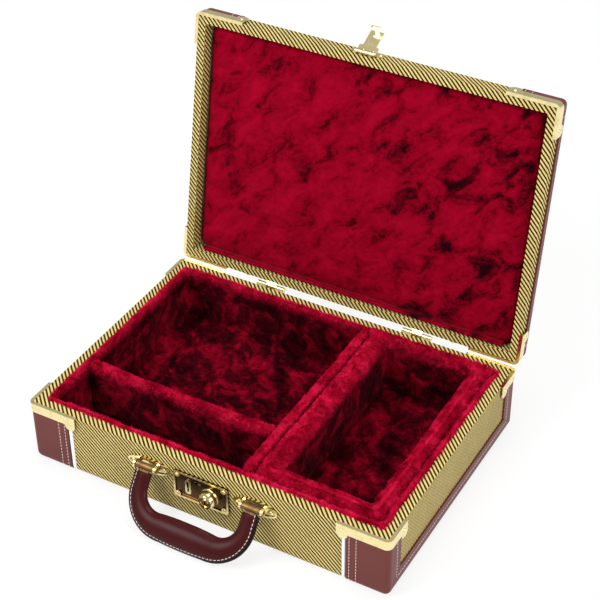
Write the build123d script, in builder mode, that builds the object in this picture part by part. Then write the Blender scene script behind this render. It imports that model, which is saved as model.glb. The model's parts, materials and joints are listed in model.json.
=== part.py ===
from build123d import *
import os
from collections import namedtuple
from math import cos, radians, sin

# A tweed covered case with a hinged lid, built open. Millimetres. The origin is the middle of
# the underside, +X runs along the front to the right, +Y to the hinges, +Z up.

# Outside of both halves
CASE_LENGTH = 330.0
CASE_DEPTH = 230.0
BASE_HEIGHT = 60.0
LID_HEIGHT = 21.0
RIM_GAP = 1.2
LID_OPENING_ANGLE = 100.3
CORNER_RADIUS = 3.0
BASE_EDGE_RADIUS = 5.0
LID_EDGE_RADIUS = 6.0

# Wood, cloth and linings
CLOTH = 0.8
BASE_WALL = 7.4
LID_WALL = 5.9
BASE_FLOOR = 7.0
LID_PANEL = 4.8
BASE_TURN_IN = 14.0
LID_TURN_IN = 12.0
LINING = 3.0
LINING_RISE = 1.2
LINING_CORNER = 6.0
SOFT_GAP = 0.3

# Vinyl end bands and piping
VINYL = 1.6
PIPING_WIDTH = 3.4
PIPING_GROOVE = 0.5
BAND_WIDTH = 35.8
BASE_BORDER = 18.0
LID_BORDER = 11.0
BORDER_UPRIGHT = 18.0

# Brass rim corners
BRASS = 0.7
STRIP_HEIGHT = 8.3
FRONT_LEG = 44.0
SIDE_LEG = 27.0
EAR_LENGTH = 10.0
EAR_HEIGHT = 13.0
EAR_ROUND = 4.2
LIP = 0.45
LIP_WIDTH = 3.0
SCREW_INSET = 5.0
SCREW_DROP = 6.7

# Dividers and padded frame
LONG_DIVIDER_X = 32.5
LONG_DIVIDER_WIDTH = 9.0
LONG_DIVIDER_RISE = 4.5
CROSS_DIVIDER_Y = -49.0
CROSS_DIVIDER_WIDTH = 12.0
CROSS_DIVIDER_RISE = 2.0
FRAME_GAP = 0.5
FRAME_WALL = 18.5
FRAME_BACK_WALL = 9.0
FRAME_RISE = 4.5
FRAME_BACK_RISE = 7.5
FRAME_CORNER = 8.0
FRAME_CROWN = 6.5
CROWN_SHARE = 0.48

# Padded panel of the lid
PILLOW_EDGE_DROP = 9.0
PILLOW_CROWN_DROP = 6.0
PILLOW_FOOT_INSET = 1.0
PILLOW_EDGE_INSET = 4.0
PILLOW_SLOPE_INSET = 16.0
PILLOW_CROWN_INSET = 52.0
HEM_THICKNESS = 3.9
HEM_DROP = 2.0

# Screws and rivets
FIT = 0.05
SHANK_R = 0.9
SHANK_LENGTH = 6.4
SCREW_HEAD_R = 1.9
SCREW_HEAD_H = 0.8
RIVET_HEAD_R = 1.7
RIVET_HEAD_H = 0.9

# Hinges
HINGE_FROM_END = 92.0
HINGE_LENGTH = 28.0
HINGE_OFFSET = 3.5
HINGE_BARREL_R = 2.0
HINGE_PIN_R = 1.0
LEAF = 1.0
LEAF_START = 2.6
BASE_LEAF = 16.0
LID_LEAF = 12.0
LEAF_ROUND = 2.0
LEAF_WEB = 1.8
KNUCKLE = 9.6
KNUCKLE_GAP = 0.4
HINGE_RIVET_X = 9.0
STOP_HEEL = 1.5
STOP_WEB = 1.6
STOP_GAP = 0.05

# Feet on the back
FOOT_FROM_END = 62.0
FOOT_R = 5.5
FOOT_HEIGHT = 6.4
BASE_FOOT_Z = 18.0
LID_FOOT_DROP = 11.0

# Lock
LOCK_X = -0.8
LOCK_DROP = 25.1
LOCK_LENGTH = 51.0
LOCK_HEIGHT = 27.0
LOCK_FIELD = 0.8
LOCK_BORDER = 1.6
LOCK_BORDER_RISE = 1.2
LOCK_ROUND = 2.5
LOCK_RIVET_X = 21.8
LOCK_RIVET_Z = 10.2
LOCK_BOSS_R = 2.7
CASE_SHEET = 0.6
CASE_HALF_LENGTH = 19.0
CASE_HALF_HEIGHT = 12.0
CASE_FRONT_TO_BACK = 7.0
CASE_POCKET = 0.2
KEYHOLE_X = -12.9
KEYHOLE_HEIGHT = 14.8
KEYHOLE_WIDTH = 5.4
KEY_HEAD_R = 1.5
KEY_BIT_WIDTH = 1.6
KEY_BIT_LENGTH = 7.0
KEY_RING_RISE = 0.8
CAM_R = 3.0
CAM_LOBE = 5.2
CAM_LOBE_WIDTH = 2.6
KNOB_X = 9.4
KNOB_RISE = 1.8
KNOB_STEM_R = 2.4
KNOB_FOOT_R = 7.1
KNOB_NECK_R = 6.3
KNOB_SKIRT_R = 8.5
KNOB_STEP_R = 7.3
KNOB_CROWN_R = 7.6
KNOB_TOP_R = 5.8
KNOB_BULGE = 0.4
KNOB_FOOT = 1.5
KNOB_NECK = 2.0
KNOB_SKIRT = 2.6
KNOB_STEP = 5.5
KNOB_CROWN = 6.3
KNOB_PROJECTION = 11.2
KNOB_TRAVEL = 3.5
SLIDE_GAP = 0.3
INLAY_OUTER_R = 4.4
INLAY_INNER_R = 2.8
INLAY_DEPTH = 1.0
BOLT = 1.5
BOLT_HALF_HEIGHT = 4.0
BOLT_END_ROOM = 3.9
SPRING_SINK = 8.6
SPRING_R = 1.45
SPRING_WIRE_R = 0.3
SPRING_TURNS = 6
SPRING_SEAT = 3.0

# Hasp
HASP_X = -5.6
HASP_AXIS_DROP = 3.0
HASP_AXIS_OUT = 2.6
HASP_BARREL_R = 1.9
HASP_PIN_R = 0.9
HASP_SHEET = 1.0
HASP_PLATE_LENGTH = 29.0
HASP_PLATE_HEIGHT = 8.6
HASP_PLATE_RISE = 1.4
HASP_RIVET_X = 11.6
HASP_WIDTH = 18.0
HASP_SHOULDER = 7.5
TONGUE_WIDTH = 12.0
HASP_REACH = 23.4
HASP_LOOP_X = 4.5
HASP_LOOP_WIDTH = 3.0
HASP_LOOP_GAP = 0.3
HASP_WINDOW = 3.4
HASP_LEAN_ANGLE = 35.0
CATCH_THICKNESS = 1.2
CATCH_NECK = 3.0
CATCH_HEAD = 8.0
CATCH_HEAD_DEPTH = 1.8
CATCH_ROOM = 0.3
EMBOSS_LENGTH = 10.0
EMBOSS_WIDTH = 5.0
EMBOSS_RISE = 0.6
EMBOSS_ANGLE = 30.0

# Handle and its brackets
HANDLE_DROOP_ANGLE = 53.5
BRACKET_X = 49.4
BRACKET_DROP = 17.9
BRACKET_LENGTH = 39.8
BRACKET_HEIGHT = 14.0
BRACKET_SHEET = 1.0
BRACKET_RIM = 1.7
BRACKET_RIM_RISE = 1.0
BRACKET_RIVET_X = 14.5
HANDLE_PIN_RISE = 2.2
HANDLE_PIN_OUT = 5.8
HANDLE_PIN_R = 2.0
EAR_RING_R = 3.8
EAR_RING_WIDTH = 1.8
SLEEVE_R = 3.0
SLEEVE_LENGTH = 16.6
CORE_WIDTH = 8.0
CORE_THICKNESS = 2.0
CORE_START = 2.5
COVER_START = 4.6
GRIP_REACH = 41.3
GRIP_BEND = 24.4
LEG_HALF_WIDTH = 7.1
LEG_HALF_THICKNESS = 3.9
GRIP_HALF_WIDTH = 11.5
GRIP_HALF_THICKNESS = 7.1
SEAM_THICKNESS = 3.6
SEAM_EDGE = 0.9

HALF_LENGTH = CASE_LENGTH / 2
HALF_DEPTH = CASE_DEPTH / 2
BAND_START = HALF_LENGTH - BAND_WIDTH
PIPING_START = BAND_START - PIPING_GROOVE - PIPING_WIDTH
CLOSED_HEIGHT = BASE_HEIGHT + RIM_GAP + LID_HEIGHT
LID_RIM_Z = BASE_HEIGHT + RIM_GAP
HINGE_X = HALF_LENGTH - HINGE_FROM_END
HINGE_Y = HALF_DEPTH + HINGE_OFFSET
HINGE_Z = BASE_HEIGHT + RIM_GAP / 2
FOOT_X = HALF_LENGTH - FOOT_FROM_END
LOCK_Z = BASE_HEIGHT - LOCK_DROP
KNOB_Z = LOCK_Z + KNOB_RISE
SPRING_Z = KNOB_Z - SPRING_SINK
BRACKET_Z = BASE_HEIGHT - BRACKET_DROP
HANDLE_PIN_Z = BRACKET_Z + HANDLE_PIN_RISE

FRONT = Plane(origin=(0, -HALF_DEPTH, 0), x_dir=(1, 0, 0), z_dir=(0, -1, 0))
BACK = Plane(origin=(0, HALF_DEPTH, 0), x_dir=(-1, 0, 0), z_dir=(0, 1, 0))

Half = namedtuple("Half", "height wall floor edge_radius end_lift turn_in border")
BASE = Half(BASE_HEIGHT, BASE_WALL, BASE_FLOOR, BASE_EDGE_RADIUS, VINYL, BASE_TURN_IN, BASE_BORDER)
LID = Half(LID_HEIGHT, LID_WALL, LID_PANEL, LID_EDGE_RADIUS, 0, LID_TURN_IN, LID_BORDER)

LID_FLIP = Location((0, 0, CLOSED_HEIGHT), (180, 0, 0))
TO_AXIS = Location((0, HINGE_Y, HINGE_Z))
LID_SWING = TO_AXIS * Location((0, 0, 0), (-LID_OPENING_ANGLE, 0, 0)) * TO_AXIS.inverse()

pieces = {}


def keep(name, part):
    """Label a finished piece that belongs to the base."""
    part.label = name
    pieces[name] = part


def keep_on_lid(name, part):
    """Label a piece that was drawn with the lid closed, and swing it open with the lid."""
    keep(name, LID_SWING * part)


def outline(length, depth, inset=0):
    """A rectangle about the middle of the case, drawn in by inset."""
    return Rectangle(length - 2 * inset, depth - 2 * inset)


def rounded_block(length, depth, bottom, top, corner_radius, edge_radius):
    """A block with rounded upright corners and a rounded bottom edge all round."""
    with BuildPart() as block:
        with BuildSketch(Plane.XY.offset(bottom)):
            Rectangle(length, depth)
        extrude(amount=top - bottom)
        fillet(block.edges().filter_by(Axis.Z), corner_radius)
        fillet(block.edges().group_by(Axis.Z)[0], edge_radius)
    return block.part


def middle_block(half, inset):
    """The part of a half between the pipings, whose long bottom edges are rounded."""
    with BuildPart() as block:
        with BuildSketch(Plane.XY.offset(inset)):
            Rectangle(2 * (PIPING_START - inset), CASE_DEPTH - 2 * inset)
        extrude(amount=half.height - 2 * inset)
        fillet(block.edges().group_by(Axis.Z)[0].filter_by(Axis.X), half.edge_radius - inset)
    return block.part


def filled_half(half, inset=0):
    """All that the cloth of one half wraps, rim upwards, drawn in by inset."""
    ends = rounded_block(
        CASE_LENGTH - 2 * inset,
        CASE_DEPTH - 2 * inset,
        half.end_lift + inset,
        half.height - inset,
        CORNER_RADIUS - inset,
        half.edge_radius - inset,
    )
    middle = middle_block(half, inset)
    with BuildPart() as filled:
        add(ends)
        if half.end_lift:
            add(middle)
    return filled.part


def screw_places(half):
    """Planes on the ears of the brass rim corners of one half, facing outwards, rim upwards."""
    z = half.height - SCREW_DROP
    out = VINYL + BRASS
    front_x = HALF_LENGTH - FRONT_LEG + SCREW_INSET
    side_y = HALF_DEPTH - SIDE_LEG + SCREW_INSET
    places = []
    for side in (-1, 1):
        for end in (-1, 1):
            places.append(Plane((side * front_x, end * (HALF_DEPTH + out), z), z_dir=(0, end, 0)))
            places.append(Plane((side * (HALF_LENGTH + out), end * side_y, z), z_dir=(side, 0, 0)))
    return places


def on_front(points, out=0):
    """Planes on the front face at (x, z), facing outwards."""
    return [Plane((x, -HALF_DEPTH - out, z), z_dir=(0, -1, 0)) for x, z in points]


def on_back(points, out=0):
    """Planes on the back face at (x, z), facing outwards."""
    return [Plane((x, HALF_DEPTH + out, z), z_dir=(0, 1, 0)) for x, z in points]


def turned_over(planes):
    """The same planes seen in a half that lies rim upwards."""
    return [
        Plane((p.origin.X, -p.origin.Y, CLOSED_HEIGHT - p.origin.Z), z_dir=(0, -p.z_dir.Y, 0))
        for p in planes
    ]


LOCK_RIVETS = on_front(
    [(LOCK_X + a * LOCK_RIVET_X, LOCK_Z + b * LOCK_RIVET_Z) for a in (-1, 1) for b in (-1, 1)],
    LOCK_FIELD + LOCK_BORDER_RISE,
)
BRACKET_RIVETS = on_front(
    [(a * BRACKET_X + b * BRACKET_RIVET_X, BRACKET_Z) for a in (-1, 1) for b in (-1, 1)],
    BRACKET_SHEET,
)
HINGE_RIVET_SPOTS = [a * HINGE_X + b * HINGE_RIVET_X for a in (-1, 1) for b in (-1, 1)]
BASE_HINGE_RIVETS = on_back(
    [(x, HINGE_Z - LEAF_START - BASE_LEAF / 2) for x in HINGE_RIVET_SPOTS], LEAF
)
LID_HINGE_RIVETS = on_back(
    [(x, HINGE_Z + LEAF_START + LID_LEAF / 2) for x in HINGE_RIVET_SPOTS], LEAF
)
BASE_FEET = on_back([(-FOOT_X, BASE_FOOT_Z), (FOOT_X, BASE_FOOT_Z)])
LID_FEET = on_back([(-FOOT_X, LID_RIM_Z + LID_FOOT_DROP), (FOOT_X, LID_RIM_Z + LID_FOOT_DROP)])
HASP_AXIS_Z = LID_RIM_Z + HASP_AXIS_DROP
HASP_AXIS_Y = -HALF_DEPTH - HASP_AXIS_OUT
HASP_PLATE_BOTTOM = HASP_AXIS_Z + HASP_PLATE_RISE
HASP_RIVETS = on_front(
    [(HASP_X + a * HASP_RIVET_X, HASP_PLATE_BOTTOM + HASP_PLATE_HEIGHT / 2) for a in (-1, 1)],
    HASP_SHEET,
)
BASE_HOLES = screw_places(BASE) + LOCK_RIVETS + BRACKET_RIVETS + BASE_HINGE_RIVETS + BASE_FEET
LID_HOLES = screw_places(LID) + turned_over(LID_HINGE_RIVETS + LID_FEET + HASP_RIVETS)


def wooden_tray(half, holes):
    """The wooden box of one half, open at the rim, with its fastener holes."""
    solid = filled_half(half, CLOTH)
    with BuildPart() as tray:
        add(solid)
        with BuildSketch(Plane.XY.offset(half.floor)):
            outline(CASE_LENGTH, CASE_DEPTH, CLOTH + half.wall)
        extrude(amount=half.height, mode=Mode.SUBTRACT)
        with Locations(*holes):
            Hole(SHANK_R + FIT, SHANK_LENGTH + FIT)
    return tray.part


def cloth_cover(half, holes):
    """The cloth of one half, wrapped over the rim and turned in behind it."""
    outside = filled_half(half)
    inside = filled_half(half, CLOTH)
    mouth = 2 * CLOTH + half.wall
    with BuildPart() as cover:
        add(outside)
        add(inside, mode=Mode.SUBTRACT)
        with BuildSketch(Plane.XY.offset(half.height)):
            outline(CASE_LENGTH, CASE_DEPTH, mouth)
        extrude(amount=-CLOTH, mode=Mode.SUBTRACT)
        with BuildSketch(Plane.XY.offset(half.height - CLOTH)):
            outline(CASE_LENGTH, CASE_DEPTH, mouth - CLOTH)
            Rectangle(CASE_LENGTH - 2 * mouth, CASE_DEPTH - 2 * mouth, mode=Mode.SUBTRACT)
        extrude(amount=CLOTH - half.turn_in)
        with Locations(*holes):
            Hole(SHANK_R + FIT, SHANK_LENGTH + FIT)
    return cover.part


def wrap_shell(half):
    """The vinyl's thickness all round a half, before it is cut into bands and pipings."""
    return rounded_block(
        CASE_LENGTH + 2 * VINYL,
        CASE_DEPTH + 2 * VINYL,
        half.end_lift - VINYL,
        half.height,
        CORNER_RADIUS + VINYL,
        half.edge_radius + VINYL,
    )


def end_band(half, side):
    """Vinyl round one end of a half: front, back and underside, with a border on the end face."""
    shell = wrap_shell(half)
    inside = filled_half(half)
    with BuildPart() as band:
        add(shell)
        add(inside, mode=Mode.SUBTRACT)
        with BuildSketch(Plane.XY.offset(half.height)):
            with Locations((side * (BAND_START - CASE_LENGTH), 0)):
                Rectangle(2 * CASE_LENGTH, 2 * CASE_DEPTH)
        extrude(amount=-2 * CASE_LENGTH, mode=Mode.SUBTRACT)
        with BuildSketch(Plane.YZ.offset(side * HALF_LENGTH)):
            with Locations((0, half.border + half.height)):
                Rectangle(CASE_DEPTH - 2 * BORDER_UPRIGHT, 2 * half.height)
        extrude(amount=side * 2 * VINYL, mode=Mode.SUBTRACT)
        with Locations(*screw_places(half)):
            Hole(SHANK_R + FIT, SHANK_LENGTH)
    return band.part


def piping(half, side):
    """White cord beside a band, round the front, the underside and the back."""
    shell = wrap_shell(half)
    inside = filled_half(half)
    with BuildPart() as cord:
        add(shell)
        add(inside, mode=Mode.SUBTRACT)
        with BuildSketch(Plane.YZ.offset(side * PIPING_START)):
            Rectangle(2 * CASE_DEPTH, 4 * CASE_LENGTH)
        extrude(amount=side * PIPING_WIDTH, mode=Mode.INTERSECT)
        with Locations(*screw_places(half)):
            Hole(SHANK_R + FIT, SHANK_LENGTH)
    return cord.part


def corner_skin(half):
    """Sheet brass all round a rim: an upright skirt and a thin lip over the rim's edge."""
    out = VINYL + BRASS
    with BuildPart() as skin:
        with BuildSketch(Plane.XY.offset(half.height - EAR_HEIGHT)):
            RectangleRounded(CASE_LENGTH + 2 * out, CASE_DEPTH + 2 * out, CORNER_RADIUS + out)
            RectangleRounded(
                CASE_LENGTH + 2 * VINYL,
                CASE_DEPTH + 2 * VINYL,
                CORNER_RADIUS + VINYL,
                mode=Mode.SUBTRACT,
            )
        extrude(amount=EAR_HEIGHT + LIP)
        with BuildSketch(Plane.XY.offset(half.height)):
            RectangleRounded(CASE_LENGTH + 2 * out, CASE_DEPTH + 2 * out, CORNER_RADIUS + out)
            Rectangle(
                CASE_LENGTH + 2 * (out - LIP_WIDTH),
                CASE_DEPTH + 2 * (out - LIP_WIDTH),
                mode=Mode.SUBTRACT,
            )
        extrude(amount=LIP)
    return skin.part


def rim_corner(half, side, end):
    """One brass rim corner: two legs that end in screw ears."""
    out = VINYL + BRASS
    top = half.height + LIP
    skin = corner_skin(half)
    front = Plane((0, end * (HALF_DEPTH + out), 0), x_dir=(1, 0, 0), z_dir=(0, -1, 0))
    flank = Plane((side * (HALF_LENGTH + out), 0, 0), x_dir=(0, 1, 0), z_dir=(1, 0, 0))
    legs = (
        (front, side, HALF_LENGTH, FRONT_LEG, end),
        (flank, end, HALF_DEPTH, SIDE_LEG, -side),
    )
    with BuildPart() as corner:
        for plane, hand, reach, leg, inwards in legs:
            with BuildSketch(plane) as leg_sketch:
                with Locations((hand * (reach - leg), top)):
                    Rectangle(
                        (leg + out) * 2,
                        2 * (STRIP_HEIGHT + LIP),
                    )
                with Locations((hand * (reach - leg), top)):
                    Rectangle(2 * EAR_LENGTH, 2 * (EAR_HEIGHT + LIP))
                with Locations((hand * (reach - leg - CASE_LENGTH), top)):
                    Rectangle(2 * CASE_LENGTH, 4 * EAR_HEIGHT, mode=Mode.SUBTRACT)
                fillet(leg_sketch.vertices().group_by(Axis.Y)[0], EAR_ROUND)
            extrude(amount=inwards * (out + LIP_WIDTH))
        add(skin, mode=Mode.INTERSECT)
        with Locations(*screw_places(half)):
            Hole(SHANK_R + FIT, SHANK_LENGTH)
    return corner.part


def fastener_group(places, head_r, head_h):
    """Domed heads on plain shanks, driven in at the given planes."""
    with BuildPart() as one:
        with BuildSketch(Plane.XZ):
            with BuildLine():
                Polyline(
                    (0, head_h),
                    (0, -SHANK_LENGTH),
                    (SHANK_R, -SHANK_LENGTH),
                    (SHANK_R, 0),
                    (head_r, 0),
                )
                Spline((head_r, 0), (0, head_h), tangents=((0, 1), (-1, 0)))
            make_face()
        revolve(axis=Axis.Z)
    fastener = one.part
    with BuildPart() as group:
        with Locations(*places):
            add(fastener)
    return group.part


# Wooden trays, cloth, vinyl, piping and rim corners of both halves
LID_ON = LID_SWING * LID_FLIP
for prefix, half, holes, place in (
    ("base", BASE, BASE_HOLES, Location()),
    ("lid", LID, LID_HOLES, LID_ON),
):
    tray = wooden_tray(half, holes)
    cover = cloth_cover(half, holes)
    if prefix == "base":
        with BuildPart() as pocket:
            with BuildSketch(FRONT):
                with Locations((LOCK_X, LOCK_Z)):
                    Rectangle(
                        2 * (CASE_HALF_LENGTH + CASE_POCKET), 2 * (CASE_HALF_HEIGHT + CASE_POCKET)
                    )
            extrude(amount=-CASE_FRONT_TO_BACK - CASE_POCKET)
        tray = tray - pocket.part
        cover = cover - pocket.part
    keep(f"{prefix}_tray", place * tray)
    keep(f"{prefix}_tweed_cover", place * cover)
    for hand, side in (("left", -1), ("right", 1)):
        keep(f"{prefix}_end_band_{hand}", place * end_band(half, side))
        keep(f"{prefix}_piping_{hand}", place * piping(half, side))
        for row, end in (("front", -1), ("back", 1)):
            turned = end if prefix == "base" else -end
            keep(f"{prefix}_corner_{row}_{hand}", place * rim_corner(half, side, turned))
    screws = fastener_group(screw_places(half), SCREW_HEAD_R, SCREW_HEAD_H)
    keep(f"{prefix}_corner_screws", place * screws)

# Plush lining of the base: four walls and a floor
LINING_OUT = CLOTH + BASE_WALL
LINING_IN = 2 * CLOTH + BASE_WALL + LINING
LINING_FLOOR = BASE_FLOOR + LINING
with BuildPart() as base_lining:
    with BuildSketch(Plane.XY.offset(BASE_FLOOR)):
        outline(CASE_LENGTH, CASE_DEPTH, LINING_OUT)
    extrude(amount=BASE_HEIGHT - BASE_TURN_IN - BASE_FLOOR)
    with BuildSketch(Plane.XY.offset(BASE_HEIGHT - BASE_TURN_IN)):
        outline(CASE_LENGTH, CASE_DEPTH, LINING_OUT + CLOTH)
    extrude(amount=BASE_TURN_IN + LINING_RISE)
    with BuildSketch(Plane.XY.offset(LINING_FLOOR)):
        RectangleRounded(
            CASE_LENGTH - 2 * LINING_IN, CASE_DEPTH - 2 * LINING_IN, LINING_CORNER
        )
    extrude(amount=BASE_HEIGHT, mode=Mode.SUBTRACT)
    fillet(base_lining.edges().group_by(Axis.Z)[-1], LINING * CROWN_SHARE)
keep("base_lining", base_lining.part)

ROOM_X = HALF_LENGTH - LINING_IN
ROOM_Y = HALF_DEPTH - LINING_IN


def padded_bar(x_from, x_to, y_from, y_to, top, along):
    """A padded wall on the lining's floor with a fully rounded crown along one axis."""
    thickness = min(x_to - x_from, y_to - y_from)
    with BuildPart() as bar:
        with BuildSketch(Plane.XY.offset(LINING_FLOOR)):
            with Locations(((x_from + x_to) / 2, (y_from + y_to) / 2)):
                Rectangle(x_to - x_from, y_to - y_from)
        extrude(amount=top - LINING_FLOOR)
        fillet(bar.edges().group_by(Axis.Z)[-1].filter_by(along), thickness * CROWN_SHARE)
    return bar.part


LONG_FROM = LONG_DIVIDER_X - LONG_DIVIDER_WIDTH / 2
LONG_TO = LONG_DIVIDER_X + LONG_DIVIDER_WIDTH / 2
keep(
    "long_divider",
    padded_bar(LONG_FROM, LONG_TO, -ROOM_Y, ROOM_Y, BASE_HEIGHT + LONG_DIVIDER_RISE, Axis.Y),
)
keep(
    "cross_divider",
    padded_bar(
        -ROOM_X,
        LONG_FROM,
        CROSS_DIVIDER_Y - CROSS_DIVIDER_WIDTH / 2,
        CROSS_DIVIDER_Y + CROSS_DIVIDER_WIDTH / 2,
        BASE_HEIGHT + CROSS_DIVIDER_RISE,
        Axis.X,
    ),
)

# Padded frame round the right compartment: three thick walls and a thinner, higher back wall
FRAME_FROM = LONG_TO + FRAME_GAP
FRAME_MIDDLE = (FRAME_FROM + ROOM_X) / 2
FRAME_LENGTH = ROOM_X - FRAME_FROM
frame_back = padded_bar(
    FRAME_FROM,
    ROOM_X,
    ROOM_Y - FRAME_BACK_WALL,
    ROOM_Y,
    BASE_HEIGHT + FRAME_BACK_RISE,
    Axis.X,
)
with BuildPart() as insert_pad_frame:
    with BuildSketch(Plane.XY.offset(LINING_FLOOR)):
        with Locations((FRAME_MIDDLE, 0)):
            RectangleRounded(FRAME_LENGTH, 2 * ROOM_Y, FRAME_CORNER)
        with Locations((FRAME_MIDDLE, FRAME_WALL / 2)):
            Rectangle(
                FRAME_LENGTH - 2 * FRAME_WALL, 2 * ROOM_Y - FRAME_WALL, mode=Mode.SUBTRACT
            )
        with Locations((FRAME_MIDDLE, ROOM_Y)):
            Rectangle(FRAME_LENGTH, FRAME_BACK_WALL, mode=Mode.SUBTRACT)
    extrude(amount=BASE_HEIGHT + FRAME_RISE - LINING_FLOOR)
    top_edges = insert_pad_frame.edges().group_by(Axis.Z)[-1]
    fillet(
        top_edges.filter_by(lambda edge: edge.center().Y < ROOM_Y - FRAME_BACK_WALL),
        FRAME_CROWN,
    )
    add(frame_back)
    with BuildSketch(Plane.XY.offset(LINING_FLOOR)):
        RectangleRounded(2 * ROOM_X, 2 * ROOM_Y, FRAME_CORNER)
    extrude(amount=BASE_HEIGHT, mode=Mode.INTERSECT)
keep("insert_pad_frame", insert_pad_frame.part)

# Padded plush panel of the lid, drawn with the lid rim upwards
PILLOW_LENGTH = CASE_LENGTH - 2 * (2 * CLOTH + LID_WALL + SOFT_GAP)
PILLOW_DEPTH = CASE_DEPTH - 2 * (2 * CLOTH + LID_WALL + SOFT_GAP)
PILLOW_EDGE_Z = LID_HEIGHT - PILLOW_EDGE_DROP
PILLOW_TOP_Z = LID_HEIGHT - PILLOW_CROWN_DROP
PILLOW_RINGS = (
    (LID_PANEL, PILLOW_FOOT_INSET),
    ((LID_PANEL + PILLOW_EDGE_Z) / 2, 0),
    (PILLOW_EDGE_Z, PILLOW_EDGE_INSET),
    ((PILLOW_EDGE_Z + PILLOW_TOP_Z) / 2, PILLOW_SLOPE_INSET),
    (PILLOW_TOP_Z, PILLOW_CROWN_INSET),
)
with BuildPart() as lid_plush_panel:
    for ring_z, ring_inset in PILLOW_RINGS:
        with BuildSketch(Plane.XY.offset(ring_z)):
            RectangleRounded(
                PILLOW_LENGTH - 2 * ring_inset, PILLOW_DEPTH - 2 * ring_inset, FRAME_CORNER
            )
    loft(ruled=True)
with BuildPart() as hem:
    with BuildSketch(Plane.XY.offset(LID_PANEL)):
        with Locations((0, -PILLOW_DEPTH / 2)):
            Rectangle(
                PILLOW_LENGTH - 2 * FRAME_CORNER, HEM_THICKNESS, align=(Align.CENTER, Align.MIN)
            )
    extrude(amount=LID_HEIGHT - HEM_DROP - LID_PANEL)
    fillet(hem.edges().group_by(Axis.Z)[-1], HEM_THICKNESS * CROWN_SHARE)
keep("lid_plush_panel", LID_ON * (lid_plush_panel.part + hem.part))

# Lock plate: sheet with a raised border and a boss round each rivet
LOCK_FACE = LOCK_FIELD + LOCK_BORDER_RISE
CASE_BACK = CASE_FRONT_TO_BACK - CASE_SHEET
CATCH_Z = HASP_AXIS_Z - HASP_REACH + CATCH_THICKNESS / 2
with BuildPart() as lock_plate:
    with BuildSketch(FRONT):
        with Locations((LOCK_X, LOCK_Z)):
            RectangleRounded(LOCK_LENGTH, LOCK_HEIGHT, LOCK_ROUND)
    extrude(amount=LOCK_FACE)
    with BuildSketch(FRONT.offset(LOCK_FIELD)):
        with Locations((LOCK_X, LOCK_Z)):
            Rectangle(LOCK_LENGTH - 2 * LOCK_BORDER, LOCK_HEIGHT - 2 * LOCK_BORDER)
            with GridLocations(2 * LOCK_RIVET_X, 2 * LOCK_RIVET_Z, 2, 2):
                Circle(LOCK_BOSS_R, mode=Mode.SUBTRACT)
    extrude(amount=LOCK_BORDER_RISE, mode=Mode.SUBTRACT)
    with BuildSketch(FRONT):
        with Locations((KNOB_X + KNOB_TRAVEL / 2, KNOB_Z)):
            SlotCenterToCenter(KNOB_TRAVEL + SLIDE_GAP, 2 * (KNOB_STEM_R + SLIDE_GAP))
        with Locations((HASP_X, CATCH_Z)):
            Rectangle(CATCH_HEAD + 2 * CATCH_ROOM, CATCH_THICKNESS + 2 * CATCH_ROOM)
        with Locations((KEYHOLE_X, LOCK_Z)):
            SlotOverall(KEYHOLE_HEIGHT - KEYHOLE_WIDTH / 2, KEYHOLE_WIDTH / 2, rotation=90)
    extrude(amount=LOCK_FACE, mode=Mode.SUBTRACT)
    with Locations(*LOCK_RIVETS):
        Hole(SHANK_R + FIT, SHANK_LENGTH)
keep("lock_plate", lock_plate.part)
keep("lock_rivets", fastener_group(LOCK_RIVETS, RIVET_HEAD_R, RIVET_HEAD_H))

with BuildPart() as keyhole_ring:
    with BuildSketch(FRONT.offset(LOCK_FIELD)):
        with Locations((KEYHOLE_X, LOCK_Z)):
            SlotOverall(KEYHOLE_HEIGHT, KEYHOLE_WIDTH, rotation=90)
        with Locations((KEYHOLE_X, LOCK_Z + KEY_BIT_LENGTH / 2)):
            Circle(KEY_HEAD_R, mode=Mode.SUBTRACT)
        with Locations((KEYHOLE_X, LOCK_Z - KEY_HEAD_R / 2)):
            Rectangle(KEY_BIT_WIDTH, KEY_BIT_LENGTH + KEY_HEAD_R, mode=Mode.SUBTRACT)
    extrude(amount=KEY_RING_RISE)
keep("keyhole_ring", keyhole_ring.part)

# Lock case in the wall behind the plate: a tray open to the front
with BuildPart() as lock_case:
    with BuildSketch(FRONT):
        with Locations((LOCK_X, LOCK_Z)):
            Rectangle(2 * CASE_HALF_LENGTH, 2 * CASE_HALF_HEIGHT)
    extrude(amount=-CASE_FRONT_TO_BACK)
    with BuildSketch(FRONT):
        with Locations((LOCK_X, LOCK_Z)):
            Rectangle(2 * (CASE_HALF_LENGTH - CASE_SHEET), 2 * (CASE_HALF_HEIGHT - CASE_SHEET))
    extrude(amount=-CASE_BACK, mode=Mode.SUBTRACT)
    with BuildSketch(FRONT.offset(-CASE_BACK)):
        with Locations((KNOB_X + BOLT_END_ROOM / 2, KNOB_Z)):
            Rectangle(2 * BOLT_END_ROOM, BOLT_HALF_HEIGHT)
        with Locations((KEYHOLE_X, LOCK_Z)):
            Circle(KEY_HEAD_R)
    extrude(amount=CASE_BACK - BOLT - 2 * SLIDE_GAP)
keep("lock_case", lock_case.part)

# Key cam on its post behind the keyhole, lobe pointing away from the bolt
with BuildPart() as key_cam:
    with BuildSketch(FRONT.offset(-CASE_BACK + SLIDE_GAP)):
        with Locations((KEYHOLE_X, LOCK_Z)):
            Circle(CAM_R)
        with Locations((KEYHOLE_X - CAM_LOBE / 2, LOCK_Z)):
            Rectangle(CAM_LOBE, CAM_LOBE_WIDTH)
        with Locations((KEYHOLE_X, LOCK_Z)):
            Circle(KEY_HEAD_R + FIT, mode=Mode.SUBTRACT)
    extrude(amount=BOLT)
keep("key_cam", key_cam.part)

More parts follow.
